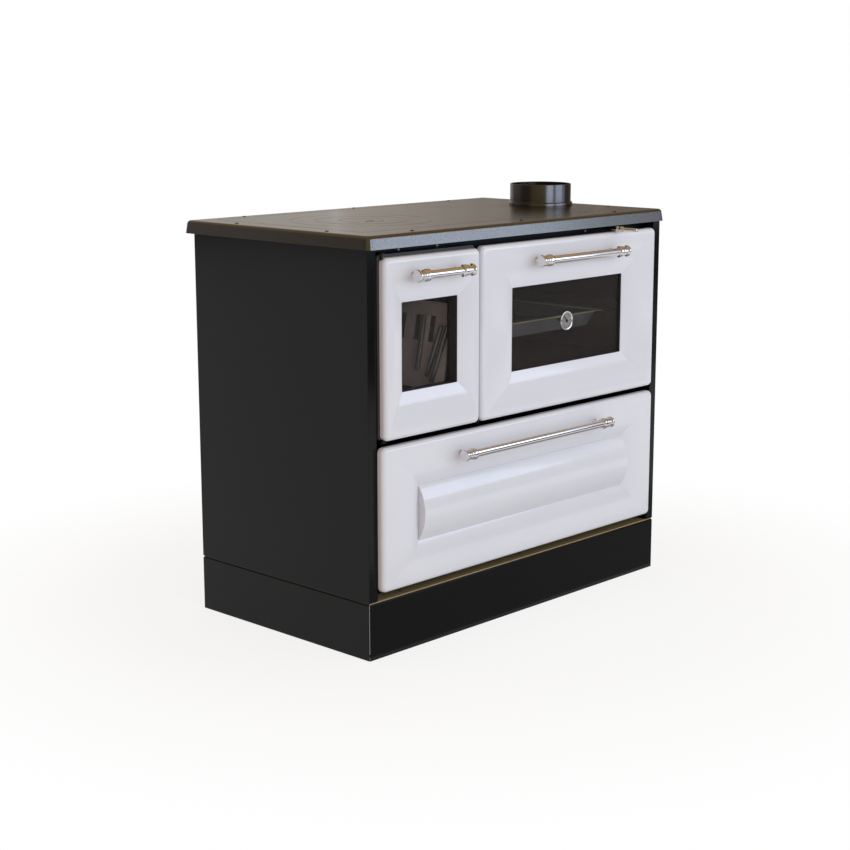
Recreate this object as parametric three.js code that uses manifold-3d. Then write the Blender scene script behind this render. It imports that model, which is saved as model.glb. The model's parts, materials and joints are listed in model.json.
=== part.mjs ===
// Wood-burning kitchen cookstove: black steel cabinet on a plinth, cast-iron hob with lift-out
// rings, side-hung fire door, drop-down oven door, fuel drawer and a push-pull flue damper.
//
// Millimetres, +Z up. The model is laid out from the front-left-bottom corner of the cabinet
// (X to the right, Y to the back), then moved so that the origin lies at the middle of its
// bounding box on the floor. The front of the stove faces -Y.

import * as THREE from "three";
import * as BufferGeometryUtils from "three/addons/utils/BufferGeometryUtils.js";
import Module from "manifold-3d";

const wasm = await Module();
wasm.setup();

// ---------------------------------------------------------------- driving dimensions (mm)

const clearance = 0.3;            // gap between two pieces that touch
const roundSides = 40;            // facets round the hob rings and the flue collar
const turnedSides = 16;           // facets round the handles and the damper rod

// cabinet
const cabinetWidth = 940;
const cabinetDepth = 520;
const stoveHeight = 850;          // floor to the top of the hob
const plinthHeight = 120;
const grooveHeight = 3;           // shadow line between the plinth and the cabinet
const grooveDepth = 1.5;
const plinthSheet = 3;
const plinthFlange = 25;
const panelSheet = 2;
const jambWidth = 23.5;           // folded front edge of each side panel
const rearFlange = 22;
const frameRecess = 33;           // from the jamb plane back to the front frame
const frameSheet = 4;

// cooktop
const topThickness = 27;
const topPlate = 14;
const topOverhangSide = 6;
const topOverhangFront = 10.5;
const topOverhangBack = 29;
const topSkirtWall = 14;
const topSkirtDraft = 3;
const topEdgeRadius = 8.5;
const topCornerRadius = 14;
const cabinetTop = stoveHeight - topThickness;

// hob plate and rings
const hobLeft = 50;
const hobRightMargin = 184;       // from the hob plate to the cabinet's right side
const hobRight = cabinetWidth - hobRightMargin;
const hobFront = 60;
const hobBackMargin = 16;
const hobBack = cabinetDepth - hobBackMargin;
const hobPlateThickness = 7.7;
const ledgeWidth = 6;             // how far each ring sits on the next
const ledgeThickness = 3.7;
const ringFromLeft = 199;         // ring centre from the hob plate's left and front edges
const ringFromFront = 211;
const ringCentreX = hobLeft + ringFromLeft;
const ringCentreY = hobFront + ringFromFront;
const ringDiameters = [300, 195, 95];
const lidSlotLength = 22;
const lidSlotWidth = 8;
const lidSlotDepth = 3;

// flue collar, sized for a 150 mm pipe
const flueFromRight = 92;
const flueFromBack = 240;
const flueX = cabinetWidth - flueFromRight;
const flueY = cabinetDepth - flueFromBack;
const flueOuter = 143;
const flueWall = 3;
const flueBase = 150;
const flueBaseHeight = 8;
const flueHeight = 50;

// fronts (outer edges measured from the cabinet's left side and from the floor)
const frontProud = 17.5;          // how far the white fronts stand before the jambs
const frontSheet = 3;
const frontEdgeRadius = 10;
const frontCornerRadius = 12;
const bevelWidth = 30;
const bevelDepth = 13;
const drawerLeft = 24;
const drawerRightMargin = 34;
const drawerRight = cabinetWidth - drawerRightMargin;
const drawerLift = 19;            // drawer front above the plinth
const drawerHeight = 295;
const drawerBottom = plinthHeight + drawerLift;
const drawerTop = drawerBottom + drawerHeight;
const doorLift = 12;              // doors above the drawer front
const doorDrop = 17;              // fire door's top edge under the cooktop's lower edge
const doorBottom = drawerTop + doorLift;
const doorTop = cabinetTop - doorDrop;
const fireLeft = 32;
const fireRight = 308;
const doorGap = 4;                // between the two doors
const ovenLeft = fireRight + doorGap;
const ovenRightMargin = 36;
const ovenRight = cabinetWidth - ovenRightMargin;
const ovenStep = 3.5;             // the oven door stands this much higher than the fire door
const ovenTop = doorTop + ovenStep;
const fireOutline = { left: fireLeft, right: fireRight, bottom: doorBottom, top: doorTop };
const ovenOutline = { left: ovenLeft, right: ovenRight, bottom: doorBottom, top: ovenTop };
const drawerOutline = { left: drawerLeft, right: drawerRight, bottom: drawerBottom, top: drawerTop };

// windows and the drawer's recess, by their distances from the outlines of the fronts
const fireWindowMargin = { left: 58, right: 57.5, bottom: 91, top: 91 };
const ovenWindowMargin = { left: 108, right: 110.5, bottom: 90.5, top: 95.5 };
const drawerPanelMargin = { left: 111, right: 101, bottom: 86, top: 93 };
const drawerPanelCorner = 0.2;
const fireWindow = within(fireOutline, fireWindowMargin);
const ovenWindow = within(ovenOutline, ovenWindowMargin);
const drawerPanel = { ...within(drawerOutline, drawerPanelMargin), radius: drawerPanelCorner };
const drawerPanelRise = 20.5;     // height of the convex panel's crest over its edges

// black inner frames of the two doors
const innerFrameWall = 4;
const innerLip = 20;
const innerLipThickness = 4;
const sightRim = 6;               // wall of the window tube
const glassSetback = 20;          // face of the fire door's glass behind the jamb plane
const ovenGlassSetback = 1.5;
const glassThickness = 4;
const glassRebate = 12;
const retainerThickness = 2.5;
const gasketInset = 8;
const gasketWidth = 8;
const gasketThickness = 2.4;
const innerFrameDepth = frameRecess - gasketThickness - 2 * clearance;
const fireInnerMargin = { left: -5, right: 3, bottom: 2, top: -6 };
const ovenInnerMargin = { left: 2, right: 2, bottom: 1, top: 4.5 };
const fireInner = within(fireOutline, fireInnerMargin);
const ovenInner = within(ovenOutline, ovenInnerMargin);

// hinges
const hingePinRadius = 2.5;
const hingeSetForward = 4;        // pin axis before the jamb plane
const fireHingeInset = 4;
const ovenHingeRise = 7;
const fireHingeX = fireLeft + fireHingeInset;
const ovenHingeZ = doorBottom + ovenHingeRise;
const hingePlate = 2;

// turned handles
const handleReach = 30.5;         // bar axis before the face of the front
const beadRadius = 12.5;
const barRadius = 0.7 * beadRadius;
const postRadius = 3;
const postInset = 21;             // from the end of the bar to the post
// one end of the bar, (radius, distance from the end) in bead radii: bead, neck, ring and barrel
const handleEnd = [
  [0, 0], [0.896, 0], [1, 0.128], [1, 0.304], [0.896, 0.432], [0.688, 0.56], [0.672, 0.832], [0.8, 0.896],
  [0.8, 1.088], [0.72, 1.152], [0.896, 1.28], [0.912, 1.56], [0.872, 1.704], [0.96, 1.84], [1, 2], [1, 2.4],
  [0.928, 2.592], [0.7, 2.72],
];
const handleDrop = 36;            // bar axis under the top edge of the doors
const drawerHandleDrop = 41.5;
// free width beside each bar, and how far its middle is off the front's middle
const fireHandle = { margin: 57.5, shift: -1.2 };
const ovenHandle = { margin: 148.5, shift: 0 };
const drawerHandle = { margin: 199, shift: 1.7 };

// openings in the front frame
const frameOverlap = 20;          // how far a door laps over the frame round its opening
const frameOverlapRight = 39;
const frameOverlapTop = 32;
const frameOverlapStile = 33;     // of the oven door over the stile beside the firebox
const openingLeft = fireLeft + frameOverlap;
const openingRight = ovenRight - frameOverlapRight;
const openingBottom = doorBottom + frameOverlap;
const openingTop = doorTop - frameOverlapTop;
const stileLeft = fireRight - frameOverlap;
const stileRight = ovenLeft + frameOverlapStile;
const ovenOpening = { left: stileRight, right: openingRight, bottom: openingBottom, top: openingTop };

// oven
const ovenRearSpace = 90;         // cabinet depth less the oven's own depth
const ovenSheet = 2;
const ovenCavityMargin = { left: 7, right: 7, bottom: 54, top: 6 };
const ovenFlangeMargin = { left: -10, right: -10, bottom: -8, top: -8 };
const ovenCavity = { ...within(ovenOpening, ovenCavityMargin), depth: cabinetDepth - ovenRearSpace };
const ovenFlange = within(ovenOpening, ovenFlangeMargin);
const railRise = 154;             // rails above the opening's lower edge
const railHeight = openingBottom + railRise;
const railShelf = 46;
const railUpright = 20;
const railSheet = 2;
const trayDepth = 34;
const trayLip = 14;
const traySlope = 16;
const traySheet = 1.5;
const trayFrontGap = 29;
const trayRearSpace = 120;
const trayFront = frameRecess + trayFrontGap;
const trayBack = cabinetDepth - trayRearSpace;

// thermometer on the oven glass
const thermometerLift = 0.75;     // above the middle of the oven window
const thermometerX = (ovenWindow.left + ovenWindow.right) / 2;
const thermometerZ = (ovenWindow.bottom + ovenWindow.top) / 2 + thermometerLift;
const thermometerRadius = 21.2;
const thermometerDepth = 3.5;
const stemRadius = 4;
const stemLength = 22;

// firebox
const fireboxRearSpace = 112;     // cabinet depth less the firebox's own depth
const fireboxDepth = cabinetDepth - fireboxRearSpace;
const casingSheet = 2;
const ashMargin = 33;
const ashLeft = openingLeft + ashMargin;
const ashRight = stileLeft - ashMargin;
const grateRise = 44;             // grate above the opening's lower edge
const grateTop = openingBottom + grateRise;
const grateThickness = 10;
const grateSlots = 9;
const grateSlotWidth = 12;
const liningLean = 11;            // degrees from the vertical
const liningThickness = 7;
const liningHeight = 182;
const liningTopInset = 7;         // clear width lost at the lining's top edge
const slotWidth = 19;
const slotHeight = 54;
const slotPitch = 42;
const slotCount = 7;
const slotFirst = 52;             // centre of the first slot behind the front frame
const slotRise = 98;              // from the lining's foot to the slots
const rodRadius = 5.2;
// foot and head of each steel rod on the right lining: (distance back, height)
const rodEnds = [
  [[70, 38], [70, 152]],
  [[42, 26], [18.5, 135]],
  [[26, 16], [1.5, 136]],
];
const ashPanHeight = 28;
const ashPanSheet = 1.5;
const ashPanFrontGap = 6;
const ashPanBackGap = 30;

// drawer tub and runners
const tubMargin = 40;             // from the cabinet side to the tub
const tubRearSpace = 80;
const tubRise = 30;               // tub above the plinth
const tubTopGap = 6;              // tub under the drawer front's top edge
const tubDepth = cabinetDepth - tubRearSpace;
const tubBottom = plinthHeight + tubRise;
const tubHeight = drawerTop - tubTopGap - tubBottom;
const tubSheet = 2;
const runnerWidth = 30;

// damper
const damperFromRight = 183;
const damperX = cabinetWidth - damperFromRight;
const damperZ = (cabinetTop + ovenTop) / 2;
const damperRodRadius = 4;
const damperShankRadius = 3.7;    // the part of the rod that slides through the front frame
const damperBeadRadius = 6.4;     // passes between the oven door and the cooktop's lower edge
const damperReach = 73;           // rod end before the jamb plane
const damperBeadY = -25;
// double bead of the rod: (distance behind the middle of the bead, radius taken off the bead's)
const damperBead = [[-9, 1], [-5.5, 0.1], [-2, 0.8], [0, 1.8], [2.5, 0.8], [6, 0], [9.5, 0.8]];
const damperBeadFront = 11;
const damperBeadBack = 12;
const damperPlateReach = { left: 103, right: 77, front: 90, back: 92 };   // from the flue's centre
const damperPlateDrop = 16;       // plate under the rod's axis
const damperPlateThickness = 3;
const damperLug = { width: 16, length: 30, rise: 6, grip: 12 };

// ---------------------------------------------------------------- derived levels and planes

const cabinetBottom = plinthHeight;
const topUnderside = stoveHeight - topPlate;
const frontFace = -frontProud;
const frontBack = -clearance;
const frameFront = frameRecess;
const frameBack = frameRecess + frameSheet;
const behindFrame = frameBack + clearance;
const handleY = frontFace - handleReach;
const baseTop = plinthHeight - clearance;
const hobPlateBottom = stoveHeight - hobPlateThickness;
const hobLedgeTop = stoveHeight - ledgeThickness - clearance;
const lean = THREE.MathUtils.degToRad(liningLean);
const depthFront = -damperReach;
const depthBack = cabinetDepth + topOverhangBack;

// ---------------------------------------------------------------- materials

function material(name, color, roughness, metalness) {
  return new THREE.MeshStandardMaterial({ name, color, roughness, metalness });
}

const blackPaint = material("black paint", 0x1b1a1a, 0.45, 0.3);
const blackSteel = material("black steel sheet", 0x262423, 0.5, 0.4);
const castIron = material("sanded cast iron", 0x2b2826, 0.42, 0.6);
const whiteEnamel = material("white enamel", 0xe9e7ec, 0.18, 0.0);
const chrome = material("polished chrome", 0xd8d4cc, 0.1, 1.0);
const fireGlass = new THREE.MeshStandardMaterial({
  name: "heat-proof glass", color: 0x3a3432, roughness: 0.05, metalness: 0, transparent: true, opacity: 0.35,
});
const liningIron = material("grey cast lining", 0x6a5f5a, 0.8, 0.3);
const ovenEnamel = material("oven enamel", 0x4c4440, 0.4, 0.2);
const steel = material("bare steel", 0x8d9096, 0.35, 0.9);
const ropeSeal = material("rope seal", 0x3c3a38, 0.95, 0.0);

// ---------------------------------------------------------------- solid helpers

// Merge shared vertices, drop collapsed triangles and turn the faces outwards.
function tidy(geometry) {
  const bare = geometry.clone();
  bare.deleteAttribute("normal");
  bare.deleteAttribute("uv");
  const merged = BufferGeometryUtils.mergeVertices(bare, 1e-4);
  const p = merged.attributes.position;
  const source = merged.index.array;
  const kept = [];
  let volume = 0;
  const a = new THREE.Vector3();
  const b = new THREE.Vector3();
  const c = new THREE.Vector3();
  for (let i = 0; i < source.length; i += 3) {
    const [ia, ib, ic] = [source[i], source[i + 1], source[i + 2]];
    if (ia === ib || ib === ic || ic === ia) continue;
    kept.push(ia, ib, ic);
    a.fromBufferAttribute(p, ia);
    b.fromBufferAttribute(p, ib);
    c.fromBufferAttribute(p, ic);
    volume += a.dot(b.cross(c));
  }
  if (volume < 0) {
    for (let i = 0; i < kept.length; i += 3) {
      [kept[i + 1], kept[i + 2]] = [kept[i + 2], kept[i + 1]];
    }
  }
  merged.setIndex(kept);
  return merged;
}

function toManifold(geometry) {
  const g = tidy(geometry);
  return new wasm.Manifold(new wasm.Mesh({
    numProp: 3,
    vertProperties: new Float32Array(g.attributes.position.array),
    triVerts: new Uint32Array(g.index.array),
  }));
}

function fromManifold(manifold) {
  const mesh = manifold.getMesh();
  const g = new THREE.BufferGeometry();
  g.setAttribute("position", new THREE.BufferAttribute(new Float32Array(mesh.vertProperties), 3));
  g.setIndex(Array.from(mesh.triVerts));
  return g;
}

function cut(geometry, ...tools) {
  const body = tools.reduce((m, tool) => m.subtract(toManifold(tool)), toManifold(geometry));
  return fromManifold(body);
}

function join(geometry, ...others) {
  const body = others.reduce((m, other) => m.add(toManifold(other)), toManifold(geometry));
  return fromManifold(body);
}

function box(x0, x1, y0, y1, z0, z1) {
  const g = new THREE.BoxGeometry(x1 - x0, y1 - y0, z1 - z0);
  return g.translate((x0 + x1) / 2, (y0 + y1) / 2, (z0 + z1) / 2);
}

// An outline of (x, y), (y, z) or (x, z) points pushed along the third axis.
function extrudeZ(points, z0, z1) {
  const shape = new THREE.Shape(points.map(([u, v]) => new THREE.Vector2(u, v)));
  const g = new THREE.ExtrudeGeometry(shape, { depth: z1 - z0, bevelEnabled: false });
  return g.translate(0, 0, z0);
}

function extrudeX(points, x0, x1) {
  const g = extrudeZ(points, x0, x1);
  return g.applyMatrix4(new THREE.Matrix4().set(0, 0, 1, 0, 1, 0, 0, 0, 0, 1, 0, 0, 0, 0, 0, 1));
}

function extrudeY(points, y0, y1) {
  const g = extrudeZ(points, y0, y1);
  return g.applyMatrix4(new THREE.Matrix4().set(1, 0, 0, 0, 0, 0, 1, 0, 0, 1, 0, 0, 0, 0, 0, 1));
}

function rectangle(u0, u1, v0, v1) {
  return [[u0, v0], [u1, v0], [u1, v1], [u0, v1]];
}

// A turned piece: (radius, height) points revolved about Z. The outline starts and ends on the
// axis or closes on itself.
function turned(profile, segments = 32) {
  const g = new THREE.LatheGeometry(profile.map(([r, h]) => new THREE.Vector2(r, h)), segments);
  return g.rotateX(Math.PI / 2);
}

function turnedRing(profile, segments) {
  return turned([...profile, profile[0]], segments);
}

function alongX(geometry) {
  return geometry.rotateY(Math.PI / 2);
}

// Turned pieces whose height runs towards -Y, out of the stove's front.
function towardsFront(geometry) {
  return geometry.rotateX(Math.PI / 2);
}

// Points of a rounded rectangle given as { left, right, bottom, top, radius } in the (u, v) plane.
function roundedLoop(r, steps) {
  const radius = Math.max(r.radius, 0.2);
  const corners = [
    [r.right - radius, r.bottom + radius, -90],
    [r.right - radius, r.top - radius, 0],
    [r.left + radius, r.top - radius, 90],
    [r.left + radius, r.bottom + radius, 180],
  ];
  const loop = [];
  for (const [u, v, start] of corners) {
    for (let i = 0; i <= steps; i += 1) {
      const angle = THREE.MathUtils.degToRad(start + (90 * i) / steps);
      loop.push([u + radius * Math.cos(angle), v + radius * Math.sin(angle)]);
    }
  }
  return loop;
}

// The rectangle left inside an outline by a margin { left, right, bottom, top }.
function within(r, m) {
  return { left: r.left + m.left, right: r.right - m.right, bottom: r.bottom + m.bottom, top: r.top - m.top };
}

function inset(r, by, radius) {
  return {
    left: r.left + by, right: r.right - by, bottom: r.bottom + by, top: r.top - by,
    radius: radius ?? Math.max((r.radius ?? 0) - by, 0.2),
  };
}

// Loft through rounded rectangles standing in the XZ plane at depths y. A frame joins its last
// section to its first; a cup is capped at both ends.
function loft(sections, { closed, steps = 4, flat = false }) {
  const rings = sections.map(([r, at]) => roundedLoop(r, steps).map(([u, v]) => (
    flat ? [u, v, at] : [u, at, v]
  )));
  const n = rings[0].length;
  const vertices = rings.flat(2);
  const index = [];
  const spans = closed ? rings.length : rings.length - 1;
  for (let s = 0; s < spans; s += 1) {
    const a = s * n;
    const b = ((s + 1) % rings.length) * n;
    for (let i = 0; i < n; i += 1) {
      const j = (i + 1) % n;
      index.push(a + i, a + j, b + j, a + i, b + j, b + i);
    }
  }
  if (!closed) {
    const last = (rings.length - 1) * n;
    for (let i = 1; i < n - 1; i += 1) {
      index.push(0, i + 1, i, last, last + i, last + i + 1);
    }
  }
  const g = new THREE.BufferGeometry();
  g.setAttribute("position", new THREE.BufferAttribute(new Float32Array(vertices), 3));
  g.setAttribute("normal", new THREE.BufferAttribute(new Float32Array(vertices.length), 3));
  g.setAttribute("uv", new THREE.BufferAttribute(new Float32Array((vertices.length / 3) * 2), 2));
  g.setIndex(index);
  return g;
}

const stove = new THREE.Group();
stove.position.set(-cabinetWidth / 2, -(depthFront + depthBack) / 2, 0);

function add(name, geometry, mat, parent = stove) {
  const mesh = new THREE.Mesh(tidy(geometry), mat);
  mesh.geometry.computeVertexNormals();
  mesh.name = name;
  parent.add(mesh);
  return mesh;
}

// ---------------------------------------------------------------- plinth and cabinet

// A length of the plinth's channel with mitred ends: every point moves in from its end by its
// distance from the outer face. coordinate is 0 for a run along X, 1 for a run along Y.
function mitred(geometry, coordinate, length, distance) {
  const p = geometry.attributes.position;
  const gap = clearance / Math.SQRT2;
  for (let i = 0; i < p.count; i += 1) {
    const at = [p.getX(i), p.getY(i)];
    const shift = distance(at) + gap;
    at[coordinate] += at[coordinate] < length / 2 ? shift : -shift;
    p.setXY(i, at[0], at[1]);
  }
  return geometry;
}

function buildPlinth() {
  const top = plinthHeight - grooveHeight;
  const t = plinthSheet;
  const bevel = 2;
  const w = cabinetWidth;
  const d = cabinetDepth;
  // folded channel, open to the inside: (distance in from the outer face, height)
  const channel = [
    [0, 0], [plinthFlange, 0], [plinthFlange, t], [t, t], [t, top - t],
    [plinthFlange, top - t], [plinthFlange, top], [bevel, top], [0, top - bevel],
  ];
  const front = mitred(extrudeX(channel, 0, w), 0, w, ([, y]) => y);
  const back = mitred(extrudeX(channel.map(([i, z]) => [d - i, z]), 0, w), 0, w, ([, y]) => d - y);
  const left = mitred(extrudeY(channel, 0, d), 1, d, ([x]) => x);
  const right = mitred(extrudeY(channel.map(([i, z]) => [w - i, z]), 0, d), 1, d, ([x]) => w - x);
  add("plinth_front", front, blackPaint);
  add("plinth_back", back, blackPaint);
  add("plinth_left", left, blackPaint);
  add("plinth_right", right, blackPaint);
  add("base_plate", box(
    grooveDepth, cabinetWidth - grooveDepth, grooveDepth, cabinetDepth - grooveDepth,
    top + clearance, baseTop,
  ), blackSteel);
}

function buildPanels() {
  const t = panelSheet;
  // plan of the left panel: side sheet, folded jamb with its return, and rear flange
  const plan = [
    [0, 0], [jambWidth, 0], [jambWidth, frameFront - clearance], [jambWidth - t, frameFront - clearance],
    [jambWidth - t, t], [t, t], [t, cabinetDepth - t], [rearFlange, cabinetDepth - t],
    [rearFlange, cabinetDepth], [0, cabinetDepth],
  ];
  const top = cabinetTop - clearance;
  add("side_panel_left", extrudeZ(plan, cabinetBottom, top), blackPaint);
  add("side_panel_right", extrudeZ(plan.map(([x, y]) => [cabinetWidth - x, y]), cabinetBottom, top), blackPaint);
  const backY = cabinetDepth - t - clearance;
  add("back_panel", box(
    t + clearance, cabinetWidth - t - clearance, backY - t, backY, cabinetBottom, top,
  ), blackSteel);
}

function buildFrontFrame() {
  const outer = panelSheet + clearance;
  const y0 = frameFront;
  const y1 = frameBack;
  const top = cabinetTop - clearance;
  const railBottom = drawerTop + panelSheet;
  const bore = damperShankRadius + clearance;
  const through = frameRecess;
  const bored = towardsFront(turned([[0, -through], [bore, -through], [bore, through], [0, through]], 20));
  bored.translate(damperX, (y0 + y1) / 2, damperZ);
  add("front_rail_bottom", box(outer, cabinetWidth - outer, y0, y1, railBottom, openingBottom), blackPaint);
  add("front_rail_top", cut(box(outer, cabinetWidth - outer, y0, y1, openingTop, top), bored), blackPaint);
  const z0 = openingBottom + clearance;
  const z1 = openingTop - clearance;
  add("front_stile_left", box(outer, openingLeft, y0, y1, z0, z1), blackPaint);
  add("front_stile_middle", box(stileLeft, stileRight, y0, y1, z0, z1), blackPaint);
  add("front_stile_right", box(openingRight, cabinetWidth - outer, y0, y1, z0, z1), blackPaint);
}

// ---------------------------------------------------------------- cooktop

function buildCooktop() {
  const outline = {
    left: -topOverhangSide, right: cabinetWidth + topOverhangSide,
    bottom: -topOverhangFront, top: cabinetDepth + topOverhangBack, radius: topCornerRadius,
  };
  const opening = { left: hobLeft, right: hobRight, bottom: hobFront, top: hobBack, radius: 3 };
  const ledge = inset(opening, 10, 2);
  const skirtTop = stoveHeight - topEdgeRadius;
  const sections = [
    [outline, cabinetTop],
    [inset(outline, topSkirtDraft), skirtTop],
  ];
  for (const angle of [30, 60, 90]) {
    const a = THREE.MathUtils.degToRad(angle);
    const by = topSkirtDraft + topEdgeRadius * (1 - Math.cos(a));
    sections.push([inset(outline, by), skirtTop + topEdgeRadius * Math.sin(a)]);
  }
  sections.push(
    [opening, stoveHeight],
    [opening, hobPlateBottom - clearance],
    [ledge, hobPlateBottom - clearance],
    [ledge, topUnderside],
    [inset(outline, topSkirtWall, 3), topUnderside],
    [inset(outline, topSkirtWall, 3), cabinetTop],
  );
  const bore = turned([[0, -30], [flueOuter / 2 - flueWall, -30], [flueOuter / 2 - flueWall, 30], [0, 30]], roundSides);
  bore.translate(flueX, flueY, stoveHeight);
  add("cooktop_frame", cut(loft(sections, { closed: true, flat: true }), bore), castIron);

  const edge = ringDiameters[0] / 2;
  const pocket = turned([
    [0, stoveHeight - 30], [edge - ledgeWidth, stoveHeight - 30], [edge - ledgeWidth, hobLedgeTop],
    [edge, hobLedgeTop], [edge, stoveHeight + 5], [0, stoveHeight + 5],
  ], roundSides);
  pocket.translate(ringCentreX, ringCentreY, 0);
  const plate = inset(opening, clearance);
  add("hob_plate", cut(extrudeZ(roundedLoop(plate, 3), hobPlateBottom, stoveHeight), pocket), castIron);
}

// Each ring is rebated under its rim and carries the next one on its inner ledge.
function buildRings() {
  const names = ["hob_ring_outer", "hob_ring_middle", "hob_lid"];
  const rimBottom = hobLedgeTop + clearance;
  ringDiameters.forEach((diameter, i) => {
    const r = diameter / 2 - clearance;
    const foot = r - ledgeWidth;
    let g;
    if (i < ringDiameters.length - 1) {
      const inner = ringDiameters[i + 1] / 2;
      g = turnedRing([
        [r, rimBottom], [r, stoveHeight], [inner, stoveHeight], [inner, hobLedgeTop],
        [inner - ledgeWidth, hobLedgeTop], [inner - ledgeWidth, hobPlateBottom], [foot, hobPlateBottom],
        [foot, rimBottom],
      ], roundSides);
    } else {
      g = turned([
        [0, stoveHeight], [r, stoveHeight], [r, rimBottom], [foot, rimBottom], [foot, hobPlateBottom],
        [0, hobPlateBottom],
      ], roundSides);
      // slot for the lifting hook, near the rim
      g = cut(g, box(
        -lidSlotLength / 2, lidSlotLength / 2, -foot * 0.75, -foot * 0.75 + lidSlotWidth,
        stoveHeight - lidSlotDepth, stoveHeight + 5,
      ));
    }
    g.translate(ringCentreX, ringCentreY, 0);
    add(names[i], g, castIron);
  });
}

function buildFlueCollar() {
  const bore = flueOuter / 2 - flueWall;
  const z0 = stoveHeight + clearance;
  const z1 = z0 + flueBaseHeight;
  const g = turnedRing([
    [bore, z0], [flueBase / 2, z0], [flueBase / 2, z1 - 2], [flueBase / 2 - 1.5, z1],
    [flueOuter / 2 + 0.6, z1], [flueOuter / 2, z1 + 2], [flueOuter / 2, stoveHeight + flueHeight - 1],
    [flueOuter / 2 - 1, stoveHeight + flueHeight], [bore, stoveHeight + flueHeight],
  ], 48);
  g.translate(flueX, flueY, 0);
  add("flue_collar", g, castIron);
}

// ---------------------------------------------------------------- firebox

function leaningPlate(side) {
  // upright in its own frame, pierced by a row of air slots
  const length = fireboxDepth - liningThickness - 3 * clearance;
  const slots = [];
  for (let i = 0; i < slotCount; i += 1) {
    const y = slotFirst + i * slotPitch;
    slots.push(box(-20, 20, y - slotWidth / 2, y + slotWidth / 2, slotRise, slotRise + slotHeight));
  }
  const x0 = side > 0 ? 0 : -liningThickness;
  return cut(box(x0, x0 + liningThickness, 0, length, 0, liningHeight), ...slots);
}

function buildFirebox() {
  const y0 = behindFrame;
  const y1 = y0 + fireboxDepth;
  const t = casingSheet;
  const lift = liningThickness * Math.sin(lean);
  const footZ = grateTop + clearance + lift;
  const topRun = liningHeight * Math.sin(lean);
  const thick = liningThickness * Math.cos(lean);
  // the casing's walls stand just outside the linings' top edges
  const wallRight = stileLeft - liningTopInset + 2 + thick;
  const wallLeft = openingLeft + liningTopInset - 2 - thick;
  const footRight = wallRight - clearance - thick - topRun;
  const footLeft = wallLeft + clearance + thick + topRun;
  const shoulder = grateTop - grateThickness - clearance;
  const ashFloor = openingBottom;
  const half = [
    [wallRight, topUnderside - clearance], [wallRight, shoulder], [ashRight, shoulder], [ashRight, ashFloor],
    [ashLeft, ashFloor], [ashLeft, shoulder], [wallLeft, shoulder], [wallLeft, topUnderside - clearance],
  ];
  const back = [
    [wallLeft - t, topUnderside - clearance], [wallLeft - t, shoulder - t], [ashLeft - t, shoulder - t],
    [ashLeft - t, ashFloor - t], [ashRight + t, ashFloor - t], [ashRight + t, shoulder - t],
    [wallRight + t, shoulder - t], [wallRight + t, topUnderside - clearance],
  ];
  add("firebox_casing", extrudeY([...half, ...back], y0, y1), blackSteel);
  add("firebox_back_wall", box(
    wallLeft - t, wallRight + t, y1 + clearance, y1 + clearance + t, ashFloor - t, topUnderside - clearance,
  ), blackSteel);

  const bars = [];
  const grateSpan = ashRight - ashLeft - 20;
  const pitch = grateSpan / grateSlots;
  for (let i = 0; i < grateSlots; i += 1) {
    const x = ashLeft + 10 + (i + 0.5) * pitch;
    bars.push(box(
      x - grateSlotWidth / 2, x + grateSlotWidth / 2, y0 + 40, y1 - 60, grateTop - 30, grateTop + 5,
    ));
  }
  add("fire_grate", cut(box(
    wallLeft + clearance, wallRight - clearance, y0 + clearance, y1 - clearance,
    grateTop - grateThickness, grateTop,
  ), ...bars), castIron);

  const right = new THREE.Group();
  right.position.set(footRight, y0 + clearance, footZ);
  right.rotation.y = lean;
  stove.add(right);
  add("lining_right", leaningPlate(1), liningIron, right);
  const left = new THREE.Group();
  left.position.set(footLeft, y0 + clearance, footZ);
  left.rotation.y = -lean;
  stove.add(left);
  add("lining_left", leaningPlate(-1), liningIron, left);

  // the back lining fills the width between the two side linings
  const rise = liningHeight * Math.cos(lean);
  const backY = y1 - clearance - liningThickness;
  const slack = 2 * clearance;
  add("lining_back", extrudeY([
    [footLeft + slack, grateTop + clearance], [footRight - slack, grateTop + clearance],
    [footRight - slack + topRun, grateTop + clearance + rise],
    [footLeft + slack - topRun, grateTop + clearance + rise],
  ], backY, backY + liningThickness), liningIron);

  // three steel rods lie against the right lining
  rodEnds.forEach(([foot, head], i) => {
    const dy = head[0] - foot[0];
    const dz = head[1] - foot[1];
    const length = Math.hypot(dy, dz);
    const g = turned([[0, 0], [rodRadius - 1, 0], [rodRadius, 1], [rodRadius, length - 1], [rodRadius - 1, length],
      [0, length]], 16);
    g.rotateX(-Math.atan2(dy, dz));
    g.translate(-rodRadius - clearance, foot[0], foot[1]);
    add(`lining_rod_${i + 1}`, g, steel, right);
  });

  // ash pan, pulled out under the grate once the fire door is open
  const pan = {
    left: ashLeft + 5, right: ashRight - 5, bottom: y0 + ashPanFrontGap, top: y1 - ashPanBackGap, radius: 6,
  };
  const z0 = ashFloor + clearance;
  add("ash_pan", loft([
    [inset(pan, ashPanSheet), z0 + ashPanSheet],
    [inset(pan, ashPanSheet), z0 + ashPanHeight],
    [pan, z0 + ashPanHeight],
    [pan, z0],
  ], { closed: false, flat: true, steps: 2 }), blackSteel);
}

// ---------------------------------------------------------------- oven

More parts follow.
